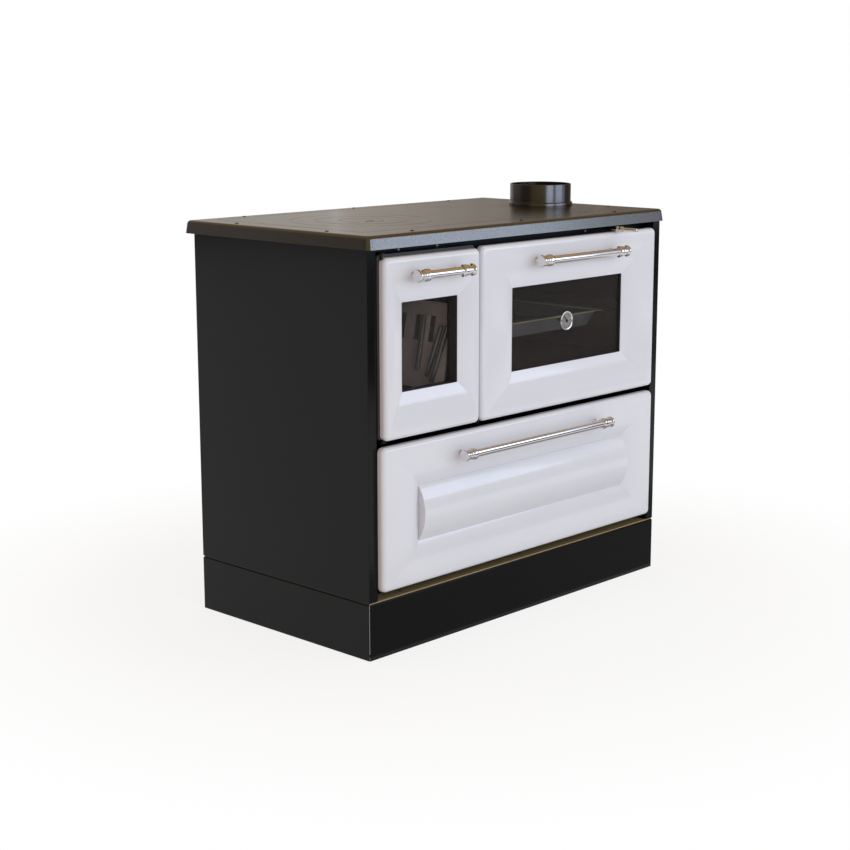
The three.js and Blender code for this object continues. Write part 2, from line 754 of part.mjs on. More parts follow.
function buildOven() {
  const c = { ...ovenCavity, radius: 14 };
  const y0 = behindFrame;
  const back = y0 + c.depth;
  const flange = { ...ovenFlange, radius: 3 };
  const outer = inset(c, -ovenSheet, c.radius + ovenSheet);
  add("oven_liner", loft([
    [c, back],
    [c, y0],
    [flange, y0],
    [flange, y0 + ovenSheet],
    [outer, y0 + ovenSheet],
    [outer, back + ovenSheet],
  ], { closed: false }), ovenEnamel);

  const railFront = y0 + 16;
  const railBack = back - 16;
  const angle = [
    [0, 0], [railShelf, 0], [railShelf, railSheet], [railSheet, railSheet],
    [railSheet, railUpright], [0, railUpright],
  ];
  const leftX = c.left + clearance;
  const rightX = c.right - clearance;
  add("oven_rail_left", extrudeY(angle.map(([d, h]) => [leftX + d, railHeight + h]), railFront, railBack), steel);
  add("oven_rail_right", extrudeY(angle.map(([d, h]) => [rightX - d, railHeight + h]), railFront, railBack), steel);

  // tray: flat bottom, sloping sides and a lip that lies on the rails
  const lipZ = railHeight + railSheet + clearance;
  const lip = { left: leftX + railShelf - trayLip + 4, right: rightX - railShelf + trayLip - 4,
    bottom: trayFront, top: trayBack, radius: 14 };
  const rim = inset(lip, trayLip - 2, 12);
  const floor = inset(rim, traySlope, 10);
  add("baking_tray", loft([
    [inset(floor, 0.5, 9), lipZ - trayDepth + traySheet],
    [rim, lipZ + traySheet],
    [lip, lipZ + traySheet],
    [lip, lipZ],
    [inset(rim, -0.2, 12.2), lipZ],
    [inset(floor, -traySheet, 11), lipZ - trayDepth],
  ], { closed: false, flat: true, steps: 3 }), ovenEnamel);
}

// ---------------------------------------------------------------- fronts

// Pressed front: rolled outer edge, flat face and a bevel sloping back to the inner opening.
function frontShell(outline, opening) {
  const outer = { ...outline, radius: frontCornerRadius };
  const hole = { radius: 2, ...opening };
  const bevel = inset(hole, -bevelWidth, 3);
  const rimBack = frontFace + bevelDepth;
  const t = frontSheet;
  const sections = [
    [inset(outer, t), frontBack],
    [inset(outer, t), frontFace + frontEdgeRadius],
    [inset(outer, frontEdgeRadius), frontFace + t],
    [inset(bevel, -t + 1, 3), frontFace + t],
    [inset(hole, -10, 2), rimBack - 0.5],
    [inset(hole, -10, 2), frontBack],
    [inset(hole, -sightRim - 0.6, 2), frontBack],
    [inset(hole, -sightRim - 0.6, 2), rimBack + 1],
    [hole, rimBack + 1],
    [hole, rimBack],
    [bevel, frontFace],
  ];
  for (const angle of [0, 22.5, 45, 67.5, 90]) {
    const a = THREE.MathUtils.degToRad(angle);
    const by = frontEdgeRadius * (1 - Math.sin(a));
    sections.push([inset(outer, by), frontFace + frontEdgeRadius * (1 - Math.cos(a))]);
  }
  sections.push([outer, frontBack]);
  return loft(sections, { closed: true });
}

// Deep black frame behind a door front: window tube, glass rebate and a lip for the rope seal.
function innerFrame(outline, opening, glassSeat) {
  const outer = { ...outline, radius: 6 };
  const hole = { ...opening, radius: 2 };
  const tubeBack = glassSeat + glassThickness + 2 * clearance;
  const w = innerFrameWall;
  return loft([
    [outer, innerFrameDepth],
    [outer, 0],
    [inset(hole, -sightRim, 2), 0],
    [inset(hole, -sightRim, 2), frontFace + bevelDepth + 1 + clearance],
    [hole, frontFace + bevelDepth + 1 + clearance],
    [hole, glassSeat],
    [inset(hole, -glassRebate, 0.2), glassSeat],
    [inset(hole, -glassRebate, 0.2), tubeBack],
    [inset(hole, -glassRebate - w, 3), tubeBack],
    [inset(hole, -glassRebate - w, 3), w],
    [inset(outer, w), w],
    [inset(outer, w), innerFrameDepth - innerLipThickness],
    [inset(outer, innerLip, 3), innerFrameDepth - innerLipThickness],
    [inset(outer, innerLip, 3), innerFrameDepth],
  ], { closed: true, steps: 2 });
}

function ringPlate(outline, width, y0, y1) {
  return loft([[outline, y0], [outline, y1], [inset(outline, width), y1], [inset(outline, width), y0]],
    { closed: true, steps: 2 });
}

function glassPane(opening, glassSeat) {
  const g = glassSeat + clearance;
  const o = inset(opening, -glassRebate + clearance);
  return box(o.left, o.right, g, g + glassThickness, o.bottom, o.top);
}

function glassRetainer(opening, glassSeat) {
  const y = glassSeat + glassThickness + 3 * clearance;
  return ringPlate(inset(opening, -glassRebate - innerFrameWall - 4, 2), glassRebate + innerFrameWall, y,
    y + retainerThickness);
}

function gasket(outline) {
  const y = innerFrameDepth + clearance;
  return ringPlate({ ...inset(outline, gasketInset), radius: 6 }, gasketWidth, y, y + gasketThickness);
}

// Bar turned in one piece with its ends, which mirror each other. Two posts carry it from the
// backs of its barrels.
function turnedHandle(left, right, z, { margin, shift }) {
  const length = right - left - 2 * margin;
  const x = (left + right) / 2 + shift;
  const end = handleEnd.map(([r, s]) => [r * beadRadius, s * beadRadius]);
  const profile = [...end, ...end.map(([r, s]) => [r, length - s]).reverse()];
  const bar = alongX(turned(profile, turnedSides)).translate(x - length / 2, handleY, z);
  const reach = handleReach - clearance;
  const posts = [postInset, length - postInset].map((s) => {
    const post = turned([[0, 0], [postRadius + 2.5, 0], [postRadius + 2.5, 2], [postRadius, 4],
      [postRadius, reach - 2], [0, reach - 2]], 12);
    return towardsFront(post).translate(x - length / 2 + s, frontFace - clearance, z);
  });
  return join(bar, ...posts);
}

const pinHole = hingePinRadius + 0.5;

function pinBore(length) {
  return turned([[0, -length / 2], [pinHole, -length / 2], [pinHole, length / 2], [0, length / 2]], 16);
}

function buildFireDoor() {
  const bores = [doorBottom, doorTop].map((z) => pinBore(4 * frontSheet).translate(fireHingeX, -hingeSetForward, z));
  add("fire_door_front", cut(frontShell(fireOutline, fireWindow), ...bores), whiteEnamel);
  add("fire_door_frame", innerFrame(fireInner, fireWindow, glassSetback), blackPaint);
  add("fire_door_glass", glassPane(fireWindow, glassSetback), fireGlass);
  add("fire_door_glass_retainer", glassRetainer(fireWindow, glassSetback), blackSteel);
  add("fire_door_seal", gasket(fireInner), ropeSeal);
  add("fire_door_handle", turnedHandle(fireLeft, fireRight, doorTop - handleDrop, fireHandle), chrome);
}

function buildOvenDoor() {
  const bores = [ovenLeft, ovenRight].map((x) => (
    alongX(pinBore(4 * frontSheet)).translate(x, -hingeSetForward, ovenHingeZ)
  ));
  add("oven_door_front", cut(frontShell(ovenOutline, ovenWindow), ...bores), whiteEnamel);
  add("oven_door_frame", innerFrame(ovenInner, ovenWindow, ovenGlassSetback), blackPaint);
  const through = stemLength;
  const stemHole = towardsFront(turned([
    [0, -through], [stemRadius + 0.6, -through], [stemRadius + 0.6, through], [0, through],
  ], 24));
  stemHole.translate(thermometerX, ovenGlassSetback, thermometerZ);
  add("oven_door_glass", cut(glassPane(ovenWindow, ovenGlassSetback), stemHole), fireGlass);
  add("oven_door_glass_retainer", glassRetainer(ovenWindow, ovenGlassSetback), blackSteel);
  add("oven_door_seal", gasket(ovenInner), ropeSeal);
  add("oven_door_handle", turnedHandle(ovenLeft, ovenRight, doorTop - handleDrop, ovenHandle), chrome);

  // thermometer: flat dial with a raised rim before the glass, stem through it
  const R = thermometerRadius;
  const d = thermometerDepth;
  const dial = 0.4 * d;
  const bezel = towardsFront(turned([
    [0, -stemLength], [stemRadius - 1, -stemLength], [stemRadius, -stemLength + 1], [stemRadius, 0], [R - 2, 0],
    [R, 1], [R, d - 1], [R - 1, d], [R - 2.6, d], [R - 4, d - 0.6], [R - 5, dial], [0, dial],
  ], 32));
  bezel.translate(thermometerX, ovenGlassSetback, thermometerZ);
  add("thermometer_bezel", bezel, chrome);
  const needleY = ovenGlassSetback - dial - clearance;
  const hub = towardsFront(turned([[0, 0], [3.2, 0], [3.2, 0.9], [2.4, 1.5], [0, 1.6]], 20));
  const pointer = extrudeY([[-1.4, -5], [1.4, -5], [0.4, R - 8], [-0.4, R - 8]], -0.9, -0.2);
  const needle = join(hub, pointer).rotateY(THREE.MathUtils.degToRad(-40));
  needle.translate(thermometerX, needleY, thermometerZ);
  add("thermometer_needle", needle, blackSteel);
}

// Fixed hinge pieces: plates from the front frame with pins into the fronts' edges.
function buildHinges() {
  const reachY = -hingeSetForward - 6;
  const backY = frameFront - clearance;
  const pin = (length) => turned([[0, 0], [hingePinRadius, 0], [hingePinRadius, length - 0.8],
    [hingePinRadius - 0.8, length], [0, length]], 16);
  const ear = (x) => [
    [x - 7, backY], [x - 7, reachY + 4], [x - 4, reachY], [x + 4, reachY], [x + 7, reachY + 4], [x + 7, backY],
  ];
  const topPlateZ = fireInner.top + 1.5;
  const above = extrudeZ(ear(fireHingeX), topPlateZ, topPlateZ + hingePlate);
  const drop = pin(topPlateZ + 0.5 - doorTop + frontSheet + 2).rotateX(Math.PI);
  drop.translate(fireHingeX, -hingeSetForward, topPlateZ + 0.5);
  add("fire_hinge_top", join(above, drop), steel);

  const lowPlateZ = doorBottom - 1.5 - hingePlate;
  const below = extrudeZ(ear(fireHingeX), lowPlateZ, lowPlateZ + hingePlate);
  const rise = pin(doorBottom + frontSheet + 2 - lowPlateZ - hingePlate + 0.5);
  rise.translate(fireHingeX, -hingeSetForward, lowPlateZ + hingePlate - 0.5);
  add("fire_hinge_bottom", join(below, rise), steel);

  const z0 = doorBottom - 6;
  const side = [
    [backY, z0], [backY, ovenHingeZ + 7], [reachY + 4, ovenHingeZ + 7], [reachY, ovenHingeZ + 3],
    [reachY, z0 + 3], [reachY + 3, z0],
  ];
  const leftX = ovenLeft - 0.5;
  const leftPin = alongX(pin(frontSheet + 3)).translate(leftX - 0.5, -hingeSetForward, ovenHingeZ);
  add("oven_hinge_left", join(extrudeX(side, leftX - hingePlate, leftX), leftPin), steel);
  const rightX = ovenRight + 0.5;
  const rightPin = alongX(pin(frontSheet + 3)).rotateZ(Math.PI);
  rightPin.translate(rightX + 0.5, -hingeSetForward, ovenHingeZ);
  add("oven_hinge_right", join(extrudeX(side, rightX, rightX + hingePlate), rightPin), steel);
}

// ---------------------------------------------------------------- fuel drawer

function buildDrawer() {
  add("drawer_front", frontShell(drawerOutline, drawerPanel), whiteEnamel);

  // convex panel: a cylinder's segment lying along X, hollow behind
  const p = inset(drawerPanel, clearance);
  const edgeY = frontFace + bevelDepth;
  const convex = (half, rise, y) => {
    const radius = (half * half + rise * rise) / (2 * rise);
    const sweep = Math.asin(half / radius);
    const points = [];
    for (let i = 0; i <= 12; i += 1) {
      const a = -sweep + (2 * sweep * i) / 12;
      points.push([y - rise + radius * (1 - Math.cos(a)), radius * Math.sin(a)]);
    }
    return points;
  };
  const midZ = (p.bottom + p.top) / 2;
  const half = (p.top - p.bottom) / 2;
  const skin = convex(half, drawerPanelRise, edgeY).map(([y, z]) => [y, z + midZ]);
  const body = extrudeX([...skin, [frontBack, p.top], [frontBack, p.bottom]], p.left, p.right);
  const core = convex(half - 3, drawerPanelRise, edgeY + 2.5).map(([y, z]) => [y, z + midZ]);
  const hollow = extrudeX([...core, [5, p.top - 3], [5, p.bottom + 3]], p.left + 3, p.right - 3);
  add("drawer_panel", cut(body, hollow), whiteEnamel);

  const tub = { left: tubMargin, right: cabinetWidth - tubMargin, bottom: 0, top: tubDepth, radius: 3 };
  add("drawer_tub", loft([
    [inset(tub, tubSheet), tubBottom + tubSheet],
    [inset(tub, tubSheet), tubBottom + tubHeight],
    [tub, tubBottom + tubHeight],
    [tub, tubBottom],
  ], { closed: false, flat: true, steps: 2 }), blackSteel);
  add(
    "drawer_handle", turnedHandle(drawerLeft, drawerRight, drawerTop - drawerHandleDrop, drawerHandle), chrome,
  );

  // runners: folded Z-shaped rails standing on the base plate under the tub
  const z0 = baseTop + clearance;
  const z1 = tubBottom - clearance;
  const t = tubSheet;
  const zed = [
    [0, z0], [runnerWidth / 2 + t / 2, z0], [runnerWidth / 2 + t / 2, z1 - t], [runnerWidth, z1 - t],
    [runnerWidth, z1], [runnerWidth / 2 - t / 2, z1], [runnerWidth / 2 - t / 2, z0 + t], [0, z0 + t],
  ];
  const at = tubMargin + 10;
  const y0 = frameFront;
  const y1 = cabinetDepth - 20;
  add("drawer_runner_left", extrudeY(zed.map(([x, z]) => [at + x, z]), y0, y1), steel);
  add("drawer_runner_right", extrudeY(zed.map(([x, z]) => [cabinetWidth - at - x, z]), y0, y1), steel);
}

// ---------------------------------------------------------------- damper

function buildDamper() {
  const plate = {
    left: flueX - damperPlateReach.left, right: flueX + damperPlateReach.right,
    front: flueY - damperPlateReach.front, back: flueY + damperPlateReach.back,
    bottom: damperZ - damperPlateDrop,
  };
  const start = depthFront;
  const end = plate.front + damperLug.grip;
  const r = damperRodRadius;
  const middle = damperBeadY - start;
  // heights run from the rod's free end inwards
  const profile = [
    [0, 0], [0.75 * r, 0], [r, 0.25 * r], [r, middle - damperBeadFront],
    ...damperBead.map(([back, less]) => [damperBeadRadius - less, middle + back]),
    [damperShankRadius, middle + damperBeadBack], [damperShankRadius, end - start], [0, end - start],
  ];
  const rod = turned(profile, turnedSides).rotateX(-Math.PI / 2).translate(damperX, start, damperZ);
  add("damper_rod", rod, chrome);

  const leaf = box(
    plate.left, plate.right, plate.front, plate.back, plate.bottom, plate.bottom + damperPlateThickness,
  );
  const lug = box(
    damperX - damperLug.width / 2, damperX + damperLug.width / 2, plate.front, plate.front + damperLug.length,
    plate.bottom + damperPlateThickness / 3, damperZ + damperLug.rise,
  );
  const through = 2 * damperLug.length;
  const bore = turned([[0, -through], [r, -through], [r, through], [0, through]], 20).rotateX(-Math.PI / 2);
  bore.translate(damperX, plate.front, damperZ);
  add("damper_plate", cut(join(leaf, lug), bore), castIron);
}

buildPlinth();
buildPanels();
buildFrontFrame();
buildCooktop();
buildRings();
buildFlueCollar();
buildFirebox();
buildOven();
buildFireDoor();
buildOvenDoor();
buildHinges();
buildDrawer();
buildDamper();

export default stove;
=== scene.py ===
# %% [markdown]
# # A wood-burning kitchen cookstove
# The stove is a black steel cabinet on a plinth, with a sanded cast-iron hob, white enamelled
# fronts and turned nickel handles. Its solids come ready from CAD and stand in metres, so every
# piece made here is laid out from the same corner as theirs. The camera stands where the
# photographer stood; it comes first so that each piece can be judged in its view.

# %% Load the solids and keep their box
import json
import math

import bmesh
import bpy
from mathutils import Matrix, Vector


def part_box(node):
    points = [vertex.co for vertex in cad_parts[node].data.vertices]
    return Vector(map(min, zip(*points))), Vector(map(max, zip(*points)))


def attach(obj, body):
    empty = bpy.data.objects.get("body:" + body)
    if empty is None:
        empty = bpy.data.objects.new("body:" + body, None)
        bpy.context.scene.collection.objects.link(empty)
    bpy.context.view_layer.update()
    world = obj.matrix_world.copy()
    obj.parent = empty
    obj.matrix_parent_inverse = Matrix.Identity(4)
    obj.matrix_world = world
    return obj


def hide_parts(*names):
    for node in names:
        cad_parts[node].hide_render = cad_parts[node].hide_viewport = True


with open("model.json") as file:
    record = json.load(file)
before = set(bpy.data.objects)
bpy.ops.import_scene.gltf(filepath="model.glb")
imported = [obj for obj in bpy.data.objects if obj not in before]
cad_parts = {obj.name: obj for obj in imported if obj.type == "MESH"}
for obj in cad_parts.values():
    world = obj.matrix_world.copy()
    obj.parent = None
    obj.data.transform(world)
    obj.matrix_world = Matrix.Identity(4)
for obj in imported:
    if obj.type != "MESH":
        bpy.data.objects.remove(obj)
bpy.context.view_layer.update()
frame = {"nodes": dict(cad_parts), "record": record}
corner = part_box("side_panel_left")[0]
body_of_node = {
    node: body for body, nodes in frame["record"]["behaviour"]["bodies"].items() for node in nodes
}


# %% [markdown]
# ## The camera
# Edges of the cabinet in the photograph run to two vanishing points, and a camera fitted to them
# gives its place, a lens of 72 mm and a view 46 degrees to the left of the front. Distances are
# in millimetres from the cabinet's front-left-bottom corner, which is how the whole script
# measures.

# %% Place the camera
def spot(x, y, z):
    """A point in millimetres from the cabinet's front-left-bottom corner, in metres."""
    return Vector((corner[0] + x / 1000, corner[1] + y / 1000, z / 1000))


scene = bpy.context.scene
lens = bpy.data.cameras.new("photo_camera")
lens.lens = 72.456
lens.sensor_width = 36
lens.clip_end = 60
camera = bpy.data.objects.new("photo_camera", lens)
yaw, pitch, roll = math.radians(46.287), math.radians(11.554), math.radians(-0.076)
camera.location = spot(-2278.0, -2331.0, 1149.6)
camera.rotation_euler = (
    Matrix.Rotation(-yaw, 3, "Z") @ Matrix.Rotation(math.pi / 2 - pitch, 3, "X")
    @ Matrix.Rotation(roll, 3, "Z")
).to_euler()
scene.collection.objects.link(camera)
scene.camera = camera
print("camera at", [round(v, 3) for v in camera.location])


# %% [markdown]
# ## Writing materials
# Every finish is a small node tree. Trees could be wired by hand in the editor, but a script can
# be read and repeated. One function adds a node, sets its properties and its sockets, and links a
# socket when it is given another node's output. Colours are written as sRGB hex, as a paint chart
# gives them, and turned to linear light once.

# %% Colour and node helpers
def linear(hex_colour):
    """sRGB hex such as '#dddbe2' to linear RGBA."""
    parts = [int(hex_colour[i:i + 2], 16) / 255 for i in (1, 3, 5)]
    return tuple(c / 12.92 if c <= 0.04045 else ((c + 0.055) / 1.055) ** 2.4 for c in parts) + (1,)


def put(tree, kind, sockets=None, **properties):
    """Add a node. A socket's value may be (node, output), which links it."""
    added = tree.nodes.new(kind)
    for name, value in properties.items():
        setattr(added, name, value)
    for name, value in (sockets or {}).items():
        if isinstance(value, tuple) and isinstance(value[0], bpy.types.Node):
            tree.links.new(value[0].outputs[value[1]], added.inputs[name])
        else:
            added.inputs[name].default_value = value
    return added


def new_finish(name):
    """An empty material with its output node, and the object's own coordinates in metres."""
    material = bpy.data.materials.new(name)
    material.use_nodes = True
    tree = material.node_tree
    tree.nodes.clear()
    coords = put(tree, "ShaderNodeTexCoord")
    output = put(tree, "ShaderNodeOutputMaterial")
    return material, tree, (coords, "Object"), output


def calc(tree, operation, *values):
    """One step of arithmetic; a value may be (node, output)."""
    return put(tree, "ShaderNodeMath", dict(enumerate(values)), operation=operation)


def vec(tree, operation, *values):
    """One step of vector arithmetic."""
    return put(tree, "ShaderNodeVectorMath", dict(enumerate(values)), operation=operation)


print("node helpers; enamel white in linear light:", [round(c, 3) for c in linear("#dedbe2")])


# %% [markdown]
# ## Patterns
# Real surfaces vary at sizes one can measure: sand grains, orange peel, clouds in a coat. Image
# textures could show that, but they need unwrapping and blur close by. Noise in the object's own
# coordinates needs neither, so each pattern is noise with its blobs given in millimetres.

# %% Patterns in real millimetres
def grain(tree, coords, millimetres, detail=2.0, stretch=(1, 1, 1)):
    """Noise whose blobs are about so many millimetres across."""
    stretched = put(tree, "ShaderNodeMapping", {"Vector": coords, "Scale": stretch})
    return put(tree, "ShaderNodeTexNoise", {
        "Vector": (stretched, "Vector"), "Scale": 1000 / (2 * millimetres), "Detail": detail,
    })


def spread(tree, source, low, high):
    """Map a pattern, which mostly keeps within 0.3..0.7, to the range low..high."""
    return put(tree, "ShaderNodeMapRange", {
        "Value": source, "From Min": 0.3, "From Max": 0.7, "To Min": low, "To Max": high,
    })


def blend(tree, factor, first, second):
    """Mix two colours by a pattern. Mix names its sockets alike, so colours go in by position."""
    mix = put(tree, "ShaderNodeMix", data_type="RGBA")
    tree.links.new(factor[0].outputs[factor[1]], mix.inputs[0])
    mix.inputs[6].default_value = linear(first)
    mix.inputs[7].default_value = linear(second)
    return mix


def zoned(tree, coords, tint, zones):
    """A tint with other colours beyond distances, in metres, along directions; later zones win."""
    for direction, level, colour in zones:
        along = vec(tree, "DOT_PRODUCT", coords, direction)
        mask = calc(tree, "GREATER_THAN", (along, "Value"), level)
        mix = blend(tree, (mask, 0), "#000000", colour)
        tree.links.new(tint.outputs[2], mix.inputs[6])
        tint = mix
    return tint


def bumped(tree, pattern, strength, depth):
    """A bump that follows a pattern; depth in metres."""
    return put(tree, "ShaderNodeBump", {
        "Height": (pattern, "Fac"), "Strength": strength, "Distance": depth,
    })


def surfaced(tree, output, sockets):
    """A Principled surface, joined to the material's output."""
    shader = put(tree, "ShaderNodeBsdfPrincipled", sockets)
    tree.links.new(shader.outputs["BSDF"], output.inputs["Surface"])
    return shader


print("helpers for patterns, zones, bumps and surfaces")


# %% [markdown]
# ## Black powder-coated steel
# The cabinet's sheets are powder coated: the powder melts into a skin with a faint orange peel
# about 1 mm across and a satin shine. The skin is a plastic, so its IOR is 1.5, and flatting
# agent in it takes most of the mirror away; the peel is a shallow bump and the shine varies by a
# few percent, which keeps the big flat sides alive. The sheet under the drawer has a tan reflection
# painted into its colour, only at the front and between the sides: its rims stay black.

# %% Powder coat
def powder_coat(name, colour, lighter, roughness, mirror, zones=()):
    material, tree, coords, output = new_finish(name)
    clouds = grain(tree, coords, 90, 3)
    peel = grain(tree, coords, 1.1, 2)
    tint = blend(tree, (spread(tree, (clouds, "Fac"), 0, 1), "Result"), colour, lighter)
    tint = zoned(tree, coords, tint, zones)
    shine = spread(tree, (clouds, "Fac"), roughness - 0.02, roughness + 0.02)
    surfaced(tree, output, {
        "Base Color": (tint, 2), "Roughness": (shine, "Result"), "IOR": 1.5,
        "Specular IOR Level": mirror, "Normal": (bumped(tree, peel, 0.02, 0.0003), "Normal"),
    })
    return material


black_coat = powder_coat("satin black powder coat", "#0f0e0f", "#121112", 0.16, 0.2)
frame_coat = powder_coat("black frame paint", "#0e0d0d", "#121111", 0.45, 0.12)
# the door frames are the same black paint given a lighter grey: painted light on their window
# returns
door_frame_coat_lightened = powder_coat("grey-black door frame paint", "#3a3738", "#403d3d", 0.4, 0.2)
inner_sheet = powder_coat("black heat paint on sheet", "#1d1b1a", "#272422", 0.6, 0.2)
# the tan colour along the sheet's front is a painted reflection; the side rims stay black
painted_reflection_depth, black_rim = 0.12, 0.002
base_sheet_painted_reflection = powder_coat("base sheet with a painted tan reflection", "#141212", "#181616", 0.35, 0.5, zones=(
    ((0, -1, 0), -corner[1] - painted_reflection_depth, "#a58d66"),
    ((1, 0, 0), -corner[0] - black_rim, "#141212"),
    ((-1, 0, 0), -corner[0] - black_rim, "#141212"),
))
print("black finishes:", black_coat.name, frame_coat.name, inner_sheet.name, base_sheet_painted_reflection.name)


# %% [markdown]
# ## Sanded and blacked cast iron
# The hob is ground flat and blacked, so it shines like graphite rather than paint: a metal with a
# dark base colour. The sand of the mould leaves a grain of about half a millimetre, drawn here
# at 0.9 mm so that it shows, and the collar is a smoother casting than the hob.

# %% Blacked iron
def blacked_iron(name, colour, lighter, roughness, bump_strength):
    material, tree, coords, output = new_finish(name)
    sand = grain(tree, coords, 0.9, 3)
    clouds = grain(tree, coords, 60, 3)
    tint = blend(tree, (spread(tree, (sand, "Fac"), 0, 1), "Result"), colour, lighter)
    shine = spread(tree, (clouds, "Fac"), roughness - 0.008, roughness + 0.008)
    surfaced(tree, output, {
        "Base Color": (tint, 2), "Metallic": 1.0, "Roughness": (shine, "Result"),
        "Normal": (bumped(tree, sand, bump_strength, 0.0004), "Normal"),
    })
    return material


hob_iron = blacked_iron("blacked cast iron", "#615e59", "#7a7772", 0.25, 0.04)
collar_iron = blacked_iron("blacked collar casting", "#5c5956", "#64615e", 0.2, 0.03)
grate_iron = blacked_iron("raw grate casting", "#2c2826", "#3a3431", 0.7, 0.6)
print("iron finishes:", hob_iron.name, collar_iron.name, grate_iron.name)


# %% [markdown]
# ## White vitreous enamel
# The fronts are pressed steel under white glass enamel, fired on. Glass enamel has an IOR of
# about 1.52, a hard gloss and a very slight waviness, 12 mm across, where it flowed in the kiln.

# %% Enamel
enamel, tree, coords, output = new_finish("white vitreous enamel")
flow = grain(tree, coords, 12, 1)
clouds = grain(tree, coords, 70, 2)
tint = blend(tree, (spread(tree, (clouds, "Fac"), 0, 1), "Result"), "#dedbe2", "#dcd9e0")
shine = spread(tree, (clouds, "Fac"), 0.09, 0.13)
surfaced(tree, output, {
    "Base Color": (tint, 2), "Roughness": (shine, "Result"), "IOR": 1.52,
    "Normal": (bumped(tree, flow, 0.05, 0.0006), "Normal"),
})
print("enamel:", enamel.name)


# %% [markdown]
# ## Nickel, bare steel and the dial
# The handles are turned steel, nickel plated and buffed: nearly a mirror, with hairlines from the
# buffing wheel round the bar. The thermometer's rim is plated too, about a dial printed on satin
# silver. The dial could be a disc of its own; a mask in the shader keeps it one piece with its rim.
# Rails and rods are bare steel, rougher; hinges and screws are blacked.

# %% Plated metal
def printed_dial(tree, coords, rim, hub, face_radius):
    """A rim's shader with a dial about a hub: satin silver with twelve black marks."""
    marks, half_stroke, inner_end = 12, 0.18, 0.74
    flat = vec(tree, "MULTIPLY", (vec(tree, "SUBTRACT", coords, tuple(hub)), "Vector"), (1, 0, 1))
    radius = (vec(tree, "LENGTH", (flat, "Vector")), "Value")
    split = put(tree, "ShaderNodeSeparateXYZ", {"Vector": (flat, "Vector")})
    angle = calc(tree, "ARCTAN2", (split, "X"), (split, "Z"))
    turns = calc(tree, "MULTIPLY", (angle, 0), marks / math.pi)
    stroke = calc(tree, "LESS_THAN", (calc(tree, "PINGPONG", (turns, 0), 1.0), 0), half_stroke)
    outer = calc(tree, "GREATER_THAN", radius, face_radius * inner_end)
    mark = calc(tree, "MULTIPLY", (stroke, 0), (outer, 0))
    tint = blend(tree, (mark, 0), "#aaa6a2", "#26221f")
    face = put(tree, "ShaderNodeBsdfPrincipled", {
        "Base Color": (tint, 2), "Roughness": 0.28, "Metallic": 0.6,
    })
    inside = calc(tree, "LESS_THAN", radius, face_radius)
    return put(tree, "ShaderNodeMixShader", {0: (inside, 0), 1: (rim, 0), 2: (face, 0)})


def plated(name, colour, roughness, hairlines, dial=None):
    """Polished metal; `dial` is the hub and the radius of a printed face."""
    material, tree, coords, output = new_finish(name)
    lines = grain(tree, coords, 0.5, 2, stretch=hairlines)
    shine = spread(tree, (lines, "Fac"), roughness * 0.8, roughness * 1.4)
    metal = surfaced(tree, output, {
        "Base Color": linear(colour), "Metallic": 1.0, "Roughness": (shine, "Result"),
        "Normal": (bumped(tree, lines, 0.02, 0.0001), "Normal"),
    })
    if dial:
        both = printed_dial(tree, coords, metal, *dial)
        tree.links.new(both.outputs[0], output.inputs["Surface"])
    return material


dial_centre = (606.75, 626)    # x and z of the thermometer on the oven's glass
buffed = ("#dfdbdb", 0.06, (6, 0.3, 0.3))
nickel = plated("buffed nickel plate", *buffed)
dial_nickel = plated("buffed nickel plate with a silver dial", *buffed,
                     dial=(spot(dial_centre[0], 0, dial_centre[1]), 0.0161))
bare_steel = plated("bare rolled steel", "#8e9096", 0.38, (0.3, 6, 0.3))
screw_steel = plated("blacked steel", "#3a3836", 0.4, (1, 1, 1))
print("metals:", nickel.name, bare_steel.name, screw_steel.name)


# %% [markdown]
# ## Panes
# The doors carry glass ceramic, faintly smoked, with a coating that takes the mirror off its faces.
# Refracting glass would be truer, but it needs many bounces and is noisy before a dark oven. A
# partly transparent surface shows the same and has one number for its smoke.

# %% Glass
def pane(name, colour, alpha, mirror):
    material, tree, coords, output = new_finish(name)
    haze = grain(tree, coords, 40, 2)
    shine = spread(tree, (haze, "Fac"), 0.02, 0.06)
    surfaced(tree, output, {
        "Base Color": linear(colour), "Roughness": (shine, "Result"), "IOR": 1.5, "Alpha": alpha,
        "Specular IOR Level": mirror,
    })
    return material


door_glass = pane("smoked glass ceramic", "#544e4c", 0.16, 0.12)
print("glass:", door_glass.name)


# %% [markdown]
# ## Inside the stove
# The linings are raw grey castings browned by fire, the oven is enamelled dark brown with tiny
# specks, and the tray's rim has a light highlight painted into its colour. All are rough skins with
# spots and broad stains, so one function makes them, and height alone marks the tray's highlight.

# %% Castings and oven enamel
def rough_skin(name, colour, other, size, roughness, strength, zones=()):
    material, tree, coords, output = new_finish(name)
    spots = grain(tree, coords, size, 4)
    stains = grain(tree, coords, size * 25, 3)
    tint = blend(tree, (spread(tree, (stains, "Fac"), 0, 1), "Result"), colour, other)
    tint = zoned(tree, coords, tint, zones)
    shine = spread(tree, (spots, "Fac"), roughness - 0.06, roughness + 0.06)
    surfaced(tree, output, {
        "Base Color": (tint, 2), "Roughness": (shine, "Result"),
        "Normal": (bumped(tree, spots, strength, 0.0006), "Normal"),
    })
    return material


lining_casting = rough_skin("fire-browned lining casting", "#e6d6cf", "#d2c2ba", 1.6, 0.75, 0.4)
oven_skin = rough_skin("dark oven enamel", "#514740", "#463d37", 0.8, 0.4, 0.08)
# the light colour above this height on the tray's rim is a painted highlight
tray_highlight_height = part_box("baking_tray")[1][2] - 0.003
tray_skin = rough_skin("blue-black tray enamel with a worn rim", "#5f5e60", "#6a686a", 0.8, 0.3,
                       0.08, zones=(((0, 0, 1), tray_highlight_height, "#cbb999"),))
seal_rope = rough_skin("woven glass rope", "#4a4745", "#3a3836", 1.2, 0.95, 0.8)
print("firebox and oven:", lining_casting.name, oven_skin.name, tray_skin.name, seal_rope.name)


